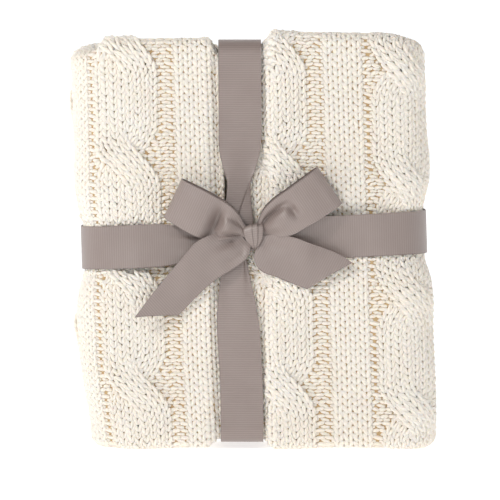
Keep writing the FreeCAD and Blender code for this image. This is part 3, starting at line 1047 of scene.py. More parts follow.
    def grain(self) -> bpy.types.Object:
        """One grain: a rounded, slightly bowed length of yarn, Z along it, a unit each way.

        Returns:
            The grain, with its own axes kept as an attribute.
        """
        sides, rings, bow = self.grain_sides, self.grain_rings, self.grain_bow
        points = [(0.0, -bow, -1.0)]
        for i in range(1, rings):
            polar = math.pi * i / rings
            z, r = -math.cos(polar), math.sin(polar) ** 0.8
            for k in range(sides):
                turn = 2 * math.pi * (k + 0.5 * (i % 2)) / sides
                points.append((r * math.cos(turn), r * math.sin(turn) - bow * z * z, z))
        points.append((0.0, -bow, 1.0))
        last = len(points) - 1
        faces = [(0, 1 + (k + 1) % sides, 1 + k) for k in range(sides)]
        for i in range(rings - 2):
            a, b = 1 + i * sides, 1 + (i + 1) * sides
            faces += [(a + k, a + (k + 1) % sides, b + (k + 1) % sides, b + k)
                      for k in range(sides)]
        a = 1 + (rings - 2) * sides
        faces += [(a + k, a + (k + 1) % sides, last) for k in range(sides)]
        grain = new_object("yarn_grain", np.array(points) / MM, faces)
        kept = grain.data.attributes.new("stitch", "FLOAT_VECTOR", "POINT")
        kept.data.foreach_set("vector", np.array(points, dtype=np.float32).ravel())
        return grain

    def tree(self) -> bpy.types.NodeTree:
        """The geometry nodes that lay a grain at each stitch's place, turn and size.

        Returns:
            The tree, with named inputs.
        """
        tree = bpy.data.node_groups.new("knitted_grains", "GeometryNodeTree")
        for name, kind in (("Stitches", "NodeSocketGeometry"), ("Grain", "NodeSocketObject"),
                           ("Fullness", "NodeSocketFloat"), ("Yarn", "NodeSocketMaterial")):
            tree.interface.new_socket(name, in_out="INPUT", socket_type=kind)
        tree.interface.new_socket("Knit", in_out="OUTPUT", socket_type="NodeSocketGeometry")
        given = add(tree, "NodeGroupInput")
        grain = add(tree, "GeometryNodeObjectInfo", links={"Object": given.outputs["Grain"]})
        turn, size = (
            add(tree, "GeometryNodeInputNamedAttribute", {"data_type": kind, "Name": name})
            for name, kind in (("turn", "QUATERNION"), ("size", "FLOAT_VECTOR")))
        full = add(tree, "ShaderNodeVectorMath", {"operation": "SCALE"},
                   {0: size.outputs[0], "Scale": given.outputs["Fullness"]})
        laid = add(tree, "GeometryNodeInstanceOnPoints", links={
            "Points": given.outputs["Stitches"], "Instance": grain.outputs["Geometry"],
            "Rotation": turn.outputs[0], "Scale": full.outputs[0]})
        real = add(tree, "GeometryNodeRealizeInstances", links={0: laid.outputs[0]})
        dressed = add(tree, "GeometryNodeSetMaterial", links={
            "Geometry": real.outputs[0], "Material": given.outputs["Yarn"]})
        add(tree, "NodeGroupOutput", links={0: dressed.outputs[0]})
        return tree

    def lay(self, name: str, groups: list, tree: bpy.types.NodeTree, grain: bpy.types.Object,
            yarn: bpy.types.Material) -> bpy.types.Object:
        """One piece of knitting from its grains.

        Args:
            name: the piece's name.
            groups: centres and axes.
            tree: the geometry nodes.
            grain: the grain.
            yarn: the finish.

        Returns:
            The piece, as a plain mesh.
        """
        centre, flat, thick, long = (np.concatenate([g[i] for g in groups]) for i in range(4))
        points = new_object(name, centre, [])
        sizes = np.stack([np.linalg.norm(v, axis=1) for v in (flat, thick, long)], axis=1) * MM
        axes = np.stack([unit(flat), unit(thick), unit(long)], axis=2)
        flip = np.linalg.det(axes) < 0
        axes[flip, :, 0] *= -1
        attributes = points.data.attributes
        attributes.new("turn", "QUATERNION", "POINT").data.foreach_set(
            "value", quaternions(axes).astype(np.float32).ravel())
        attributes.new("size", "FLOAT_VECTOR", "POINT").data.foreach_set(
            "vector", sizes.astype(np.float32).ravel())
        modifier = points.modifiers.new("knit", "NODES")
        modifier.node_group = tree
        inputs = {item.name: item.identifier for item in tree.interface.items_tree
                  if item.in_out == "INPUT"}
        for key, value in (("Grain", grain), ("Fullness", self.fullness), ("Yarn", yarn)):
            modifier[inputs[key]] = value
        return settle(points)


def quaternions(axes: np.ndarray) -> np.ndarray:
    """Quaternions (w, x, y, z) of rotation matrices.

    Args:
        axes: one 3 by 3 matrix for each row.

    Returns:
        One quaternion for each row.
    """
    m = axes
    w = np.sqrt(np.maximum(0, 1 + m[:, 0, 0] + m[:, 1, 1] + m[:, 2, 2])) / 2
    x = np.sqrt(np.maximum(0, 1 + m[:, 0, 0] - m[:, 1, 1] - m[:, 2, 2])) / 2
    y = np.sqrt(np.maximum(0, 1 - m[:, 0, 0] + m[:, 1, 1] - m[:, 2, 2])) / 2
    z = np.sqrt(np.maximum(0, 1 - m[:, 0, 0] - m[:, 1, 1] + m[:, 2, 2])) / 2
    x = np.copysign(x, m[:, 2, 1] - m[:, 1, 2])
    y = np.copysign(y, m[:, 0, 2] - m[:, 2, 0])
    z = np.copysign(z, m[:, 1, 0] - m[:, 0, 1])
    return np.stack([w, x, y, z], axis=1)


@dataclass
class Throw:
    """The knitted throw: the inner plies as one closed body, and the stitches over it in pieces.

    Attributes:
        strip: the folded strip.
        knitting: its stitches.
        backing_drop: how far off its surface the plies stand.
        step: length of the plies' faces along the strip.
        face_columns: their places over the outer face.
        inner_columns: the same over the hidden inner one.
        chain_depths: places through the strip of the selvedges' chains, at its start and its end.
    """

    strip: Strip
    knitting: Knitting
    backing_drop: float = -0.7
    step: float = 3.0
    face_columns: int = 110
    inner_columns: int = 40
    chain_depths: tuple = ((8.9, 4.2, -1.5, -7.0), (6, 0, -6))

    def plies(self, material: bpy.types.Material) -> bpy.types.Object:
        """The body of the strip, closed, a little under the stitches.

        Args:
            material: its finish, a darker tan that is painted shade for the gaps.

        Returns:
            The piece.
        """
        strip = self.strip
        along = np.linspace(0, strip.length, int(strip.length / self.step))
        up = np.linspace(strip.steps[1], strip.steps[4], self.face_columns)
        inside = np.linspace(strip.steps[4], strip.steps[1], self.inner_columns)[1:-1]
        grid_a, grid_u = np.meshgrid(along, up, indexing="ij")
        drop = np.full(grid_a.size, self.backing_drop)
        points = strip.place(grid_a.ravel(), grid_u.ravel(), drop)
        points = points.reshape(len(along), len(up), 3)
        # The hidden inner face closes the section, straight from lip to lip.
        blend = ((inside - strip.steps[4]) / (strip.steps[1] - strip.steps[4]))[None, :, None]
        closing = points[:, -1:, :] * (1 - blend) + points[:, :1, :] * blend
        points = np.concatenate([points, closing], axis=1)
        rows, columns = points.shape[:2]
        starts = [i * columns for i in range(rows)]
        faces = grid_faces(rows, columns)
        faces += [(a + columns - 1, a, b, b + columns - 1) for a, b in zip(starts, starts[1:])]
        faces += [tuple(range(columns))[::-1], tuple(starts[-1] + k for k in range(columns))]
        return new_object("inner_plies", points.reshape(-1, 3), faces, material)

    def edge_chains(self) -> list:
        """The looped selvedges of the plies, at the free ends of the strip.

        Returns:
            Groups of centres and axes, as Knitting.legs gives them.
        """
        strip, knitting = self.strip, self.knitting
        groups = []
        course = knitting.course
        z = np.arange(course, strip.height - 10, course)
        base = strip.steps[2] + z - (strip.round + strip.skin)
        for end, push, depths in zip((0.0, strip.length), (-1.4, 1.4), self.chain_depths):
            near, far = np.full(len(z), end + push * 0.6), np.full(len(z), end + push)
            for number, depth in enumerate(depths):
                up = np.clip(base + (number % 2) * course / 2, strip.steps[2], strip.steps[3])
                rise = np.full(len(z), depth - strip.round)
                here = strip.place(near, up, rise)
                wale = unit(strip.place(near, up + 1, rise) - here)
                out = unit(strip.place(far, up, rise) - here)
                face = unit(np.cross(wale, out))
                for side in (-1, 1):
                    tilt = side * 0.62 + knitting.random.normal(0, 0.12, (len(z), 1))
                    long = np.cos(tilt) * wale + np.sin(tilt) * face
                    flat = np.cos(tilt) * face - np.sin(tilt) * wale
                    centre = here + face * side + knitting.random.normal(0, 0.2, (len(z), 3))
                    groups.append((centre, flat * 1.9, out * 2.0, long * course * 0.66))
        return groups

    def declare(self, piece: bpy.types.Object, nodes: tuple) -> None:
        """Attaches a padded piece to the throw's body and hides the nodes that it stands for.

        Args:
            piece: the piece.
            nodes: the nodes, if any.
        """
        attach(piece, ROOT)
        if nodes:
            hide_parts(*nodes)
        LOG.info("%s: %d faces", piece.name, len(piece.data.polygons))

    def make(self, yarn: bpy.types.Material, plies: bpy.types.Material) -> None:
        """Builds and declares every piece of the throw.

        Args:
            yarn: the stitches' finish.
            plies: the inner plies' finish, their shade painted in darker tan.
        """
        strip, knitting = self.strip, self.knitting
        self.declare(self.plies(plies), ("back_inner_leaf", "left_fold_inner", "right_fold_inner",
                                         "right_flap_inner_leaf", "left_flap_inner_leaf"))
        grain, tree = knitting.grain(), knitting.tree()
        m = strip.marks
        # Each piece: its name, where its last column ends and the nodes that it stands for.
        regions = [("left_flap_knit", m[1], ("left_flap_outer_leaf",)),
                   ("left_fold_knit", m[4], ("left_fold_outer",)),
                   ("back_left_knit", (m[4] + m[5]) / 2, ("back_outer_leaf",)),
                   ("back_right_knit", m[5], ()),
                   ("right_fold_knit", m[8], ("right_fold_outer",)),
                   ("right_flap_knit", m[9] - 20, ("right_flap_outer_leaf",)),
                   ("right_turn_knit", strip.outer_end, ("right_flap_turn",)),
                   ("inner_lip_knit", math.inf, ())]
        columns = list(knitting.columns)
        for name, end, nodes in regions:
            groups = []
            while columns and columns[0].start + columns[0].width / 2 < end:
                column = columns.pop(0)
                groups += knitting.column_grains(column, knitting.rows(column))
            self.declare(knitting.lay(name, groups, tree, grain, yarn), nodes)
        self.declare(knitting.lay("selvedge_chains", self.edge_chains(), tree, grain, yarn), ())
        bpy.data.objects.remove(grain)


# ---------------------------------------------------------------- the ribbon


def sheet_mesh(name: str, points: np.ndarray, uv: np.ndarray, gauge: float,
               material: bpy.types.Material) -> bpy.types.Object:
    """A thin closed sheet over a grid of points.

    Args:
        name: the piece's name.
        points: rows along the ribbon, of points across it, in millimetres.
        uv: the same grid's places on the flat ribbon, in metres.
        gauge: thickness in millimetres.
        material: its finish.

    Returns:
        The piece.
    """
    rows, columns = points.shape[:2]
    du = np.gradient(points, axis=0)
    dv = np.gradient(points, axis=1)
    normal = unit(np.cross(du, dv))
    front, back = points + normal * gauge / 2, points - normal * gauge / 2
    count = rows * columns
    faces = grid_faces(rows, columns)
    faces = [face[::-1] for face in faces] + [tuple(count + k for k in face) for face in faces]
    rim = ([(i, 0) for i in range(rows)] + [(rows - 1, k) for k in range(1, columns)]
           + [(i, columns - 1) for i in range(rows - 2, -1, -1)]
           + [(0, k) for k in range(columns - 2, 0, -1)])
    ring = [i * columns + k for i, k in rim]
    faces += [(a, b, count + b, count + a) for a, b in zip(ring, ring[1:] + ring[:1])]
    both = np.concatenate([front.reshape(-1, 3), back.reshape(-1, 3)])
    return new_object(name, both, faces, material, np.concatenate([uv.reshape(-1, 2)] * 2))


def arc_lengths(line: np.ndarray) -> np.ndarray:
    """Distance along a line of points."""
    steps = np.linalg.norm(np.diff(line, axis=0), axis=1)
    return np.concatenate([[0.0], np.cumsum(steps)])


def even(line: np.ndarray, step: float) -> np.ndarray:
    """A line of points, spaced evenly.

    Args:
        line: the points.
        step: about how far apart the new ones are.

    Returns:
        The new points.
    """
    lengths = arc_lengths(line)
    count = max(2, int(lengths[-1] / step) + 1)
    at = np.linspace(0, lengths[-1], count)
    return np.stack([np.interp(at, lengths, line[:, k]) for k in range(3)], axis=1)


@dataclass
class Ribbon:
    """Facts of the ribbon that all its pieces share.

    Attributes:
        material: its finish.
        width: its width.
        gauge: its thickness, as drawn.
        columns: points across it.
    """

    material: bpy.types.Material
    width: float = 38.0
    gauge: float = 0.7
    columns: int = 41

    def across(self) -> np.ndarray:
        """Places across the flat ribbon, from edge to edge."""
        return np.linspace(-self.width / 2, self.width / 2, self.columns)

    def flat_map(self, along: np.ndarray) -> np.ndarray:
        """Places on the flat ribbon, for the UV map.

        Args:
            along: how far along it each row is, or each point.

        Returns:
            A grid of places along and across it, in metres.
        """
        along = along[:, None] if along.ndim == 1 else along
        return np.stack(np.broadcast_arrays(along, self.across()[None, :]), axis=-1) * MM

    def declare(self, piece: bpy.types.Object, length: float, held: str, rests_on: tuple,
                nodes: tuple) -> None:
        """Logs a piece's flat size and hides the nodes that it stands for.

        Args:
            piece: the piece.
            length: millimetres of ribbon in it.
            held: how it is held; not used.
            rests_on: the pieces that it lies on; not used.
            nodes: the nodes.
        """
        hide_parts(*nodes)
        LOG.info("%s: %.0f mm of ribbon, %d faces", piece.name, length, len(piece.data.polygons))


@dataclass
class Gather:
    """How a run is drawn together towards the knot.

    Attributes:
        reach: distance from the knot at which it starts.
        waist: its width at the knot as a part of the ribbon's.
        pleats: height of the pleats there.
        overlap: how far each pleat lies over the next.
        pitch: flat ribbon in one pleat.
        phase: where the pleats start.
        over: which way they lie: 1 with their right sides under, -1 with them on top.
    """

    reach: float = 62.0
    waist: float = 0.34
    pleats: float = 2.6
    overlap: float = 2.8
    pitch: float = 12.7
    phase: float = 0.0
    over: float = 1.0

    def shape(self, along: np.ndarray, v: np.ndarray) -> tuple[np.ndarray, np.ndarray]:
        """The gathered section.

        Args:
            along: distance from the knot, for each row.
            v: places across the flat ribbon.

        Returns:
            Two grids: place across the run, and height off the stack.
        """
        tight = smooth(along, self.reach, 4.0)[:, None]
        narrow = 1 - (1 - self.waist) * tight
        wave = np.sin(v[None, :] * 2 * math.pi / self.pitch + self.phase)
        across = v[None, :] * narrow + self.overlap * tight ** 1.5 * wave
        return across, 0.6 + self.pleats * tight * (1 + self.over * wave) / 2


def joined(is_first: np.ndarray, first: tuple, second: tuple) -> list[np.ndarray]:
    """Grids whose rows are the first's or the second's.

    Args:
        is_first: True for each row that is the first's.
        first: grids.
        second: as many grids.

    Returns:
        The joined grids.
    """
    return [np.where(is_first[:, None], a, b) for a, b in zip(first, second)]


@dataclass
class Ties:
    """The two bands of ribbon round the stack.

    Attributes:
        strip: the folded strip that they tie.
        ribbon: the ribbon's facts.
        rise: how far the band across stands off the strip.
        lift: half of how far its lower edge stands out by the knot, on the left.
        droop: the same for its upper edge, on the right.
        lift_start: distance from the knot at which both start.
        lift_full: distance at which they are full.
        turn_run: ribbon between the knot and the left flap's edge.
        lean: how far the upright band leans to the left for each millimetre up.
        corner: its radius over the stack's edges.
        inset: how far it stands outside its nodes, front and back.
        sink: how far it then lies in the knit.
        shift_upper: how far left of the knot its upper strand ends.
        shift_lower: the same for its lower strand.
        step: about how far apart the bands' rows of points are.
    """

    strip: Strip
    ribbon: Ribbon
    rise: float = 2.75
    lift: float = 3.6
    droop: float = 3.6
    lift_start: float = 135.0
    lift_full: float = 100.0
    turn_run: float = 27.0
    lean: float = 0.006
    corner: float = 13.0
    inset: float = 0.4
    sink: float = 0.2
    shift_upper: float = 13.5
    shift_lower: float = 16.5
    step: float = 2.5

    def band_across(self) -> bpy.types.Object:
        """The band round the sides: from the knot over the left flap, the back and the right flap.

        Returns:
            The piece.
        """
        strip, ribbon = self.strip, self.ribbon
        m, v = strip.marks, ribbon.across()
        low, high = node_box("ribbon_knot")
        knot_x = (low[0] + high[0]) / 2
        # On the right flap a place across the stack is m[9] - along, plus where the turn starts.
        knot_along = m[9] + strip.turn_x - knot_x
        to_turn = np.arange(knot_along, m[9] + 20, self.step)
        round_stack = np.arange(2.0, knot_along, self.step)
        along = np.concatenate([to_turn, round_stack])
        from_left = np.concatenate([to_turn - knot_along, self.turn_run + round_stack])
        total = from_left[-1] + self.step
        near = np.minimum(from_left, total - from_left)
        is_left = from_left < total / 2
        left, right = Gather(reach=92.0, pleats=2.2), Gather(reach=60.0, pleats=2.0)
        across, height = joined(is_left, left.shape(near, v), right.shape(near, v))
        tilt = np.where(is_left, -self.lift, self.droop) \
            * smooth(near, self.lift_start, self.lift_full)
        tilt = tilt[:, None]
        height = height + np.abs(tilt) + tilt * v[None, :] / v[-1]
        face_start, face_end = strip.steps[2:4]
        foot = strip.skin + strip.round
        top = strip.crown(along) - strip.skin - strip.round
        flush = np.zeros(len(along))
        x_here = strip.place(along, np.full(len(along), (face_start + face_end) / 2), flush)[:, 0]
        points = np.empty((len(along), len(v), 3))
        for k in range(len(v)):
            z = strip.tie_z + strip.tie_slope * x_here + across[:, k]
            up = face_start + (z - foot) / (top - foot) * (face_end - face_start)
            base = strip.place(along, up, flush)
            out = self.outward(base, strip.place(along + 1, up, flush))
            points[:, k] = base + out * (self.rise + height[:, k])[:, None]
        length = arc_lengths(points[:, len(v) // 2])
        piece = sheet_mesh("ribbon_across", points, ribbon.flat_map(length), ribbon.gauge,
                           ribbon.material)
        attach(piece, ROOT)
        ribbon.declare(piece, length[-1], "stretched", ("left_flap_knit", "right_flap_knit"),
                       ("ribbon_across_front_left", "ribbon_across_left_side", "ribbon_across_back",
                        "ribbon_across_right_side", "ribbon_across_front_right"))
        return piece

    def outward(self, here: np.ndarray, ahead: np.ndarray) -> np.ndarray:
        """Directions out of the stack, level, for places and the places just after them."""
        run = ahead - here
        return unit(np.stack([run[:, 1], -run[:, 0], np.zeros(len(run))], axis=1)) * -1

    def loop_line(self, knot_z: float) -> np.ndarray:
        """The upright band's way up from the knot, over, down the back and up again.

        Args:
            knot_z: the knot's height.

        Returns:
            Evenly spaced points, all in one upright plane.
        """
        radius, quarter = self.corner, np.linspace(0, math.pi / 2, 12)
        front = node_box("ribbon_up_front_upper")[0][1] - self.inset
        back = node_box("ribbon_up_back")[1][1] + self.inset
        top = node_box("ribbon_up_top")[1][2]
        foot = node_box("ribbon_up_underside")[0][2]
        near, far, high, low = front + radius, back - radius, top - radius, foot + radius
        line = [(front, knot_z)]
        for y, z, start in ((near, high, math.pi), (far, high, math.pi / 2), (far, low, 0.0),
                            (near, low, -math.pi / 2)):
            line += [(y + radius * math.cos(start - q), z + radius * math.sin(start - q))
                     for q in quarter]
        line.append((front, knot_z))
        return even(np.array([(0.0, y, z) for y, z in line]), self.step)

    def band_up(self) -> bpy.types.Object:
        """The band over the top and bottom.

        Returns:
            The piece.
        """
        strip, ribbon = self.strip, self.ribbon
        v = ribbon.across()
        knot_low, knot_high = node_box("ribbon_knot")
        line = self.loop_line((knot_low[2] + knot_high[2]) / 2)
        lengths = arc_lengths(line)
        total = lengths[-1]
        near = np.minimum(lengths, total - lengths)
        is_upper = lengths < total / 2
        upper = Gather(reach=88.0, pleats=4.0, waist=0.26, overlap=11.0, pitch=31.0, over=-1.0)
        lower = Gather(reach=90.0, pleats=2.4, waist=0.66, overlap=3.5, pitch=26.0, phase=0.5)
        across, height = joined(is_upper, upper.shape(near, v), lower.shape(near, v))
        # Both strands run to the knot's left, the lower one further.
        shift = np.where(is_upper, self.shift_upper, self.shift_lower)
        knot_x = (knot_low[0] + knot_high[0]) / 2 - shift
        pull = np.where(is_upper, smooth(near, 110, 20), smooth(near, 150, 20))
        centre = strip.tie_x - self.lean * (line[:, 2] - strip.height / 2)
        centre = centre + (knot_x - centre) * pull
        tangent = unit(np.gradient(line, axis=0))
        normal = np.stack([np.zeros(len(line)), -tangent[:, 2], tangent[:, 1]], axis=1)
        points = line[:, None, :] + normal[:, None, :] * (height[:, :, None] - self.sink)
        points[:, :, 0] = centre[:, None] + across
        piece = sheet_mesh("ribbon_up", points, ribbon.flat_map(lengths), ribbon.gauge,
                           ribbon.material)
        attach(piece, ROOT)
        ribbon.declare(piece, total, "stretched", ("left_flap_knit", "right_flap_knit"),
                       ("ribbon_up_front_upper", "ribbon_up_front_lower", "ribbon_up_top",
                        "ribbon_up_back", "ribbon_up_underside"))
        return piece


@dataclass
class Knot:
    """The knot: the ribbon's own turn round the crossing, drawn narrow and pleated.

    Attributes:
        ribbon: the ribbon's facts.
        lean: how far it leans for each millimetre up.
        slant: how far its right side stands up for each millimetre across.
        top_width: its width above.
        middle_width: its width a little under its middle.
        foot_width: its width below.
        pleats: how many pleats it has.
        pleat_shift: how far a pleat lies over the next, as a part of the width.
        pleat_height: height of the pleats as a part of the knot's half thickness.
        edge_drop: how far its edges lie behind, the same way.
        squareness: how square its turn is: 1 for a circle, less for squarer.
        spare: how much taller than its node it is, above and below.
        overlap: how far the turn's end lies over its start.
    """

    ribbon: Ribbon
    lean: float = -0.06
    slant: float = 0.12
    top_width: float = 14.5
    middle_width: float = 12.0
    foot_width: float = 5.0
    pleats: int = 3
    pleat_shift: float = 0.17
    pleat_height: float = 0.07
    edge_drop: float = 0.25
    squareness: float = 0.5
    spare: float = 0.3
    overlap: float = 0.06

    def squared(self, values: np.ndarray) -> np.ndarray:
        """Sines or cosines of a squarer turn."""
        return np.sign(values) * np.abs(values) ** self.squareness

    def make(self) -> bpy.types.Object:
        """Returns:
            The piece.
        """
        ribbon = self.ribbon
        low, high = node_box("ribbon_knot")
        centre = (low + high) / 2
        half_y, half_z = (high[1] - low[1]) / 2, (high[2] - low[2]) / 2 + self.spare
        turn = np.linspace(-math.pi - 0.06, math.pi + 0.1, 72)
        v = ribbon.across()[None, :] / ribbon.width
        y = -self.squared(np.cos(turn)) * half_y
        z = self.squared(np.sin(turn)) * half_z
        wave = np.sin(v * self.pleats * 2 * math.pi)
        width = np.interp(z, [-half_z, -half_z * 0.3, half_z * 0.5, half_z],
                          [self.foot_width, self.middle_width, self.top_width, self.top_width])
        x = centre[0] + (v + self.pleat_shift * wave) * width[:, None] + self.lean * z[:, None]
        lift = 1 + wave * self.pleat_height - self.edge_drop * np.abs(v * 2) ** 4
        points = np.stack([x, centre[1] + y[:, None] * lift,
                           centre[2] + z[:, None] * lift + self.slant * (x - centre[0])], axis=-1)
        points[-8:] += (points[-8:] - centre) * self.overlap
        length = arc_lengths(points[:, ribbon.columns // 2])
        piece = sheet_mesh("bow_knot", points, ribbon.flat_map(length), ribbon.gauge,
                           ribbon.material)
        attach(piece, ROOT)
        ribbon.declare(piece, length[-1], "folded", ("ribbon_across", "ribbon_up"),
                       ("ribbon_knot",))
        return piece


@dataclass
class BowPiece:
    """A loop or a tail: a direction out from its hinge, and the outline of its two edges.

    Attributes:
        ribbon: the ribbon's facts.
        name: the piece's name.
        node: the node that it stands for.
        body: the body that it moves with.
        direction: degrees, anticlockwise from straight right as seen from the front.
        upper: distances out from the hinge, and how far that edge is off the line.
        lower: the same for the other edge.
        depth: distances out, and how far the face stands forward of the hinge.
        dips: folds in the face, each with the distance out at which it ends, its place across
            from -1 to 1, its width across, and its depth; a ridge has a negative depth.
        hollows: each with its distance out, its place across, its reach both ways and its depth.
        tilt: how far forward the upper edge stands, and the lower one back.
        neck: where it starts, behind the knot.
        blend_start: distance out up to which it stays with the knot.
        blend_end: distance out from which it moves with its body.
    """

    ribbon: Ribbon
    name: str
    node: str
    body: str
    direction: float
    upper: tuple
    lower: tuple
    depth: tuple
    dips: tuple = ()
    hollows: tuple = ()
    tilt: float = 0.0
    neck: float = -7.0
    blend_start: float = -4.0
    blend_end: float = 5.0

    def hinge(self) -> np.ndarray:
        """The hinge's place, from the record's joint.

        Returns:
            A point, in millimetres.
        """
        for joint in frame["record"]["behaviour"]["joints"]:
            if joint["child"] == self.body:
                return np.array(joint["pos_m"]) / MM
        raise ValueError(self.body)

    def at(self, out: np.ndarray, off: np.ndarray, forward: np.ndarray) -> np.ndarray:
        """Points of space.

        Args:
            out: distances out from the hinge.
            off: distances off the line.
            forward: distances forward of the hinge.

        Returns:
            The points, in millimetres.
        """
        angle = math.radians(self.direction)
        x, y, z = self.hinge()
        return np.stack([x + out * math.cos(angle) - off * math.sin(angle), y - forward,
                         z + out * math.sin(angle) + off * math.cos(angle)], axis=-1)

    def edges(self, out: np.ndarray, t: np.ndarray) -> np.ndarray:
        """Distance off the line, t of the way from the lower edge to the upper."""
        low = curve(out, self.lower)
        return low + (curve(out, self.upper) - low) * t

    def folds(self, out: np.ndarray, t: np.ndarray) -> np.ndarray:
        """How far the folds set the face back.

        Args:
            out: distances out from the hinge.
            t: places from the lower edge, 0, to the upper, 1.

        Returns:
            Millimetres.
        """
        side = t * 2 - 1
        total = np.zeros(np.broadcast(out, t).shape)
        for reach, place, width, deep in self.dips:
            line = np.exp(-((side - place) / width) ** 2)
            fade = smooth(out, reach * 1.2, reach * 0.4) * smooth(out, -6.0, 3.0)
            total = total + deep * line * fade
        for centre, place, reach, width, deep in self.hollows:
            total = total + deep * np.exp(-((out - centre) / reach) ** 2
                                          - ((side - place) / width) ** 2)
        return total

    def finish(self, points: np.ndarray, along: np.ndarray, length: float,
               held: str) -> bpy.types.Object:
        """Args:
            points: rows along the ribbon, of points across it.
            along: how far along the flat ribbon each row or point is.
            length: millimetres of ribbon in the piece.
            held: how it is held.

        Returns:
            The piece.
        """
        ribbon = self.ribbon
        piece = sheet_mesh(self.name, points, ribbon.flat_map(along), ribbon.gauge,
                           ribbon.material)
        start, end = (self.at(np.array(out), np.array(0.0), np.array(0.0)) * MM
                      for out in (self.blend_start, self.blend_end))
        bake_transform(piece, ROOT, self.body, start=tuple(start), end=tuple(end))
        ribbon.declare(piece, length, held, ("bow_knot",), (self.node,))
        return piece


def curve(at: np.ndarray, pairs: tuple) -> np.ndarray:
    """A smooth line through pairs of numbers.

    Args:
        at: where to read it.
        pairs: places and values, in order.

    Returns:
        Values.
    """
    xs, ys = np.array(pairs, dtype=float).T
    slopes = np.gradient(ys, xs)
    at = np.clip(at, xs[0], xs[-1])
    i = np.clip(np.searchsorted(xs, at) - 1, 0, len(xs) - 2)
    step = xs[i + 1] - xs[i]
    f = (at - xs[i]) / step
    h = (1 + 2 * f) * (1 - f) ** 2 * ys[i] + f * (1 - f) ** 2 * step * slopes[i]
    return h + f * f * (3 - 2 * f) * ys[i + 1] + f * f * (f - 1) * step * slopes[i + 1]


@dataclass
class Loop(BowPiece):
    """A loop: out in front, round a soft bend and back behind.

    Attributes:
        length: how far out it reaches.
        bend: how far before that its bend starts.
        back_forward: how far its back layer stands forward of the hinge.
        back_shift: how far its back layer lies off the front one.
        belly: how far its middle stands out from its edges.
        back_folds: how much of the front layer's folds the back one shows.
        rows: rows of points in each layer.
    """

    length: float = 65.0
    bend: float = 8.0
    back_forward: float = 0.0
    back_shift: float = -1.2
    belly: float = 1.2
    back_folds: float = 0.25
    rows: int = 40

    def make(self) -> bpy.types.Object:
        """Returns:
            The piece.
        """
        t = np.linspace(0, 1, self.ribbon.columns)[None, :]
        side = t * 2 - 1
        straight = self.length - self.bend
        out_front = np.linspace(self.neck, straight, self.rows)
        turn = np.linspace(0, math.pi, 16)[1:-1]
        out = np.concatenate([out_front, straight + self.bend * np.sin(turn), out_front[::-1]])
        out = out[:, None]
        face = curve(out_front, self.depth)
        middle = (face[-1] + self.back_forward) / 2
        round_bend = middle + (face[-1] - middle) * np.cos(turn)
        behind = np.interp(out_front[::-1], [self.neck, 8, straight],
                           [0.0, self.back_forward, self.back_forward])
        forward = np.concatenate([face, round_bend, behind])[:, None]
        is_front = np.concatenate([np.ones(self.rows), (1 + np.cos(turn)) / 2,
                                   np.zeros(self.rows)])[:, None]
        is_back = 1 - is_front
        off = self.edges(out, t) + self.back_shift * is_back
        forward = forward - self.folds(out, t) * is_front \
            + self.folds(out, 1 - t) * self.back_folds * is_back
        forward = forward + self.tilt * side * smooth(out, 0, 20) * (0.4 + 0.6 * is_front)
        forward = forward + (1 - side ** 2) * self.belly * (is_front - 0.3)
        points = self.at(out + 0 * t, off, forward)
        along = arc_lengths(points[:, self.ribbon.columns // 2])
        return self.finish(points, along, 2 * (self.length - self.neck), "folded")


@dataclass
class Tail(BowPiece):
    """A tail: one length of ribbon with a slanted cut end.

    Attributes:
        upper_end: distance out at which the upper edge is cut.
        lower_end: the same for the lower edge.
        curl: how far the edges fall back behind the middle at the end.
        rows: rows of points along it.
    """

    upper_end: float = 100.0
    lower_end: float = 80.0
    curl: float = 3.0
    rows: int = 60

    def make(self) -> bpy.types.Object:
        """Returns:
            The piece.
        """
        t = np.linspace(0, 1, self.ribbon.columns)[None, :]
        side = t * 2 - 1
        end = self.lower_end + (self.upper_end - self.lower_end) * t
        out = self.neck + (end - self.neck) * np.linspace(0, 1, self.rows)[:, None]
        forward = curve(out, self.depth) - self.folds(out, t)
        forward = forward + self.tilt * side * smooth(out, 0, 20)
        forward = forward - self.curl * side ** 2 * smooth(out, 10, self.lower_end)
        points = self.at(out, self.edges(out, t), forward)
        length = (self.upper_end + self.lower_end) / 2 - self.neck
        return self.finish(points, out, length, "hung")


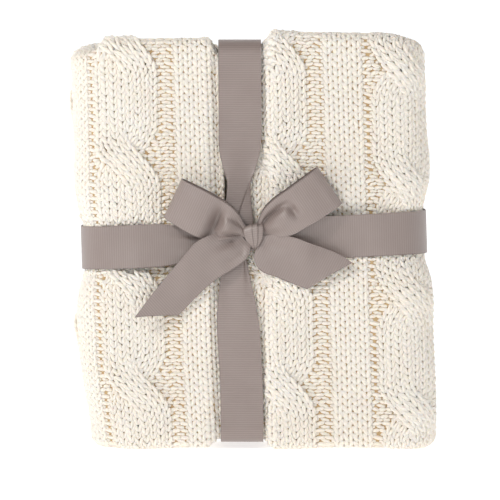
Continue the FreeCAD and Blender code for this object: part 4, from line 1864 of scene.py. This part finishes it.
@dataclass
class Bow:
    """The bow: a knot, two loops and two tails."""

    ribbon: Ribbon

    def make(self) -> None:
        """Builds the pieces in order."""
        ribbon = self.ribbon
        Knot(ribbon).make()
        Loop(ribbon, "left_bow_loop", "bow_left_loop", "left_loop", 155.0,
             upper=((-8, 4), (-3, 6), (6, 12), (16, 18.5), (28.5, 21.0), (58.8, 19.4), (66, 18.4)),
             lower=((-8, -3), (-3.7, -4.6), (6, -11), (16, -15.6), (32.4, -17.7), (66, -18.9)),
             depth=((-8, 0), (-2, 2), (8, 9), (20, 14), (36, 17), (58, 14)),
             dips=((22, 0.62, 0.2, 4.0), (16, -0.45, 0.16, 3.0)),
             hollows=((22.5, 0.0, 5.6, 0.75, 11.5), (11, 0.1, 4.5, 0.5, -3.5),
                      (46, -0.1, 14, 0.8, -1.5)),
             length=65.0, tilt=-3.5).make()
        Loop(ribbon, "right_bow_loop", "bow_right_loop", "right_loop", 34.0,
             upper=((-8, 5.0), (-3, 9), (4.3, 13.8), (16.8, 17.3), (31.6, 17.8), (66, 19.0)),
             lower=((-8, -3.3), (-2, -9), (4, -13), (12, -17.0), (29, -18.7), (57, -20),
                    (66, -19.6)),
             depth=((-8, 0), (-2, 2), (8, 8), (20, 12), (36, 15), (58, 14)),
             dips=((28, 0.48, 0.17, 7.0), (30, -0.15, 0.4, -4.0)),
             hollows=((27, 0.05, 3.8, 0.34, 6.0), (50, 0.2, 14, 0.8, -1.0)), length=66.0,
             back_shift=1.2, back_forward=1.8, tilt=2.0).make()
        Tail(ribbon, "left_bow_tail", "bow_left_tail", "left_tail", 222.0,
             upper=((-8, 4), (0.5, 9.7), (15.8, 9.0), (35.2, 5.9), (81.8, 7.4), (112, 9.0)),
             lower=((-13, -9.2), (-4, -18), (4, -23), (11.8, -26.7), (22, -30.2), (48.9, -27.9),
                    (81.9, -23.0), (110.7, -17.4)),
             depth=((-8, 0), (0, 3), (12, 8), (30, 9.5), (70, 8.5), (100, 8.5)),
             dips=((22, 0.55, 0.28, 3.2), (26, -0.3, 0.26, 2.4)),
             hollows=((55, 0.2, 18, 0.7, -1.5),),
             upper_end=81.8, lower_end=110.7, curl=3.0, tilt=-6.5).make()
        Tail(ribbon, "right_bow_tail", "bow_right_tail", "right_tail", 333.0,
             upper=((-8, 3.3), (0, 9), (14.1, 14.5), (35.4, 17.5), (61.5, 20.0), (76, 18.4)),
             lower=((-8, -13.0), (-3, -20), (2, -23.2), (21.7, -22.8), (49, -20.3), (60, -19.5)),
             depth=((-8, 1.5), (0, 3.5), (12, 6), (30, 7), (50, 5), (76, 2)),
             dips=((22, 0.4, 0.4, 1.6),),
             hollows=((38, 0.1, 10, 1.0, -2.5),),
             upper_end=74.1, lower_end=49.0, curl=1.5, tilt=1.5).make()


# ---------------------------------------------------------------- the studio


@dataclass
class Studio:
    """White paper sweep, soft lights and the camera.

    Attributes:
        view_mm: width of what the camera sees at the stack's front.
        distance: the camera's distance from there, in metres.
        elevation: degrees that it looks down.
        look_x: where it aims, across.
        look_z: the same, up.
        sensor: its sensor's width in millimetres.
        lamp_aim: height in metres at which the lights aim.
        run: how far out the floor is flat.
        bend: radius of its curve up.
        top: the backdrop's height.
        sides: steps round the sweep.
    """

    view_mm: float = 443.0
    distance: float = 3.2
    elevation: float = 3.0
    look_x: float = -0.9
    look_z: float = 178.0
    sensor: float = 36.0
    lamp_aim: float = 0.18
    run: float = 4500.0
    bend: float = 1200.0
    top: float = 5500.0
    sides: int = 96

    def camera(self) -> None:
        """A long lens, level with the stack but for a few degrees."""
        data = bpy.data.cameras.new("camera")
        camera = bpy.data.objects.new("camera", data)
        bpy.context.collection.objects.link(camera)
        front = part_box("left_flap_outer_leaf")[0][1]
        tilt = math.radians(self.elevation)
        target = Vector((self.look_x * MM, front, self.look_z * MM))
        back = Vector((0, -math.cos(tilt), math.sin(tilt)))
        camera.location = target + back * self.distance
        camera.rotation_euler = (-back).to_track_quat("-Z", "Y").to_euler()
        data.sensor_width = self.sensor
        data.lens = self.sensor * self.distance / (self.view_mm * MM)
        bpy.context.scene.camera = camera

    def sweep(self) -> None:
        """The floor, curving up on every side into a round backdrop."""
        run, bend = self.run, self.bend
        line = [(60.0, 0.0), (run / 2, 0.0), (run, 0.0)]
        line += [(run + bend * math.sin(a), bend * (1 - math.cos(a)))
                 for a in np.linspace(0.1, math.pi / 2, 16)]
        line.append((run + bend, self.top))
        turn = np.linspace(0, 2 * math.pi, self.sides, endpoint=False)
        points = np.array([(r * math.cos(a), r * math.sin(a), z) for a in turn for r, z in line])
        faces = grid_faces(self.sides, len(line), close_rows=True)
        faces.append(tuple(i * len(line) for i in range(self.sides)))
        floor = new_object("paper_sweep", points, faces, PaperFinish().make())

    def light(self, name: str, spot: tuple, size: float, power: float, colour: str) -> None:
        """One soft area light, aimed at the stack's middle.

        Args:
            name: the light's name.
            spot: where it hangs, in metres.
            size: its side, in metres.
            power: watts.
            colour: sRGB hex.
        """
        data = bpy.data.lights.new(name, "AREA")
        data.size = size
        data.energy = power
        data.color = linear(colour)[:3]
        lamp = bpy.data.objects.new(name, data)
        bpy.context.collection.objects.link(lamp)
        lamp.location = spot
        aim = Vector((0, 0, self.lamp_aim)) - Vector(spot)
        lamp.rotation_euler = aim.to_track_quat("-Z", "Y").to_euler()

    def make(self) -> None:
        """Sets up everything round the object."""
        self.camera()
        self.sweep()
        self.light("key", (-0.9, -1.15, 1.15), 0.24, 10.0, "FFFCF8")
        self.light("lustre", (-0.8, -2.2, 0.5), 0.35, 3.0, "FFFFFF")
        self.light("fill", (0.0, -2.8, 0.5), 1.6, 0.3, "FFFFFF")
        self.light("overhead", (0.0, 1.2, 2.4), 2.0, 9.0, "FFFFFF")
        world = bpy.data.worlds.new("white_room")
        world.use_nodes = True
        background = world.node_tree.nodes["Background"]
        background.inputs["Color"].default_value = linear("FFFFFF")
        background.inputs["Strength"].default_value = 0.08
        bpy.context.scene.world = world
        bpy.context.scene.view_settings.view_transform = "Standard"


def main() -> None:
    """Builds the studio and the throw in order, and reports each piece."""
    logging.basicConfig(level=logging.INFO, format="%(message)s")
    Studio().make()
    strip = Strip()
    LOG.info("strip: %.0f mm round the outside, %.0f mm in all", strip.outer_end, strip.length)
    Throw(strip, Knitting(strip)).make(YarnFinish().make(), PlyShadeFinish().make())
    ribbon = Ribbon(GrosgrainFinish().make())
    ties = Ties(strip, ribbon)
    ties.band_across()
    ties.band_up()
    Bow(ribbon).make()


if __name__ == "__main__":
    main()
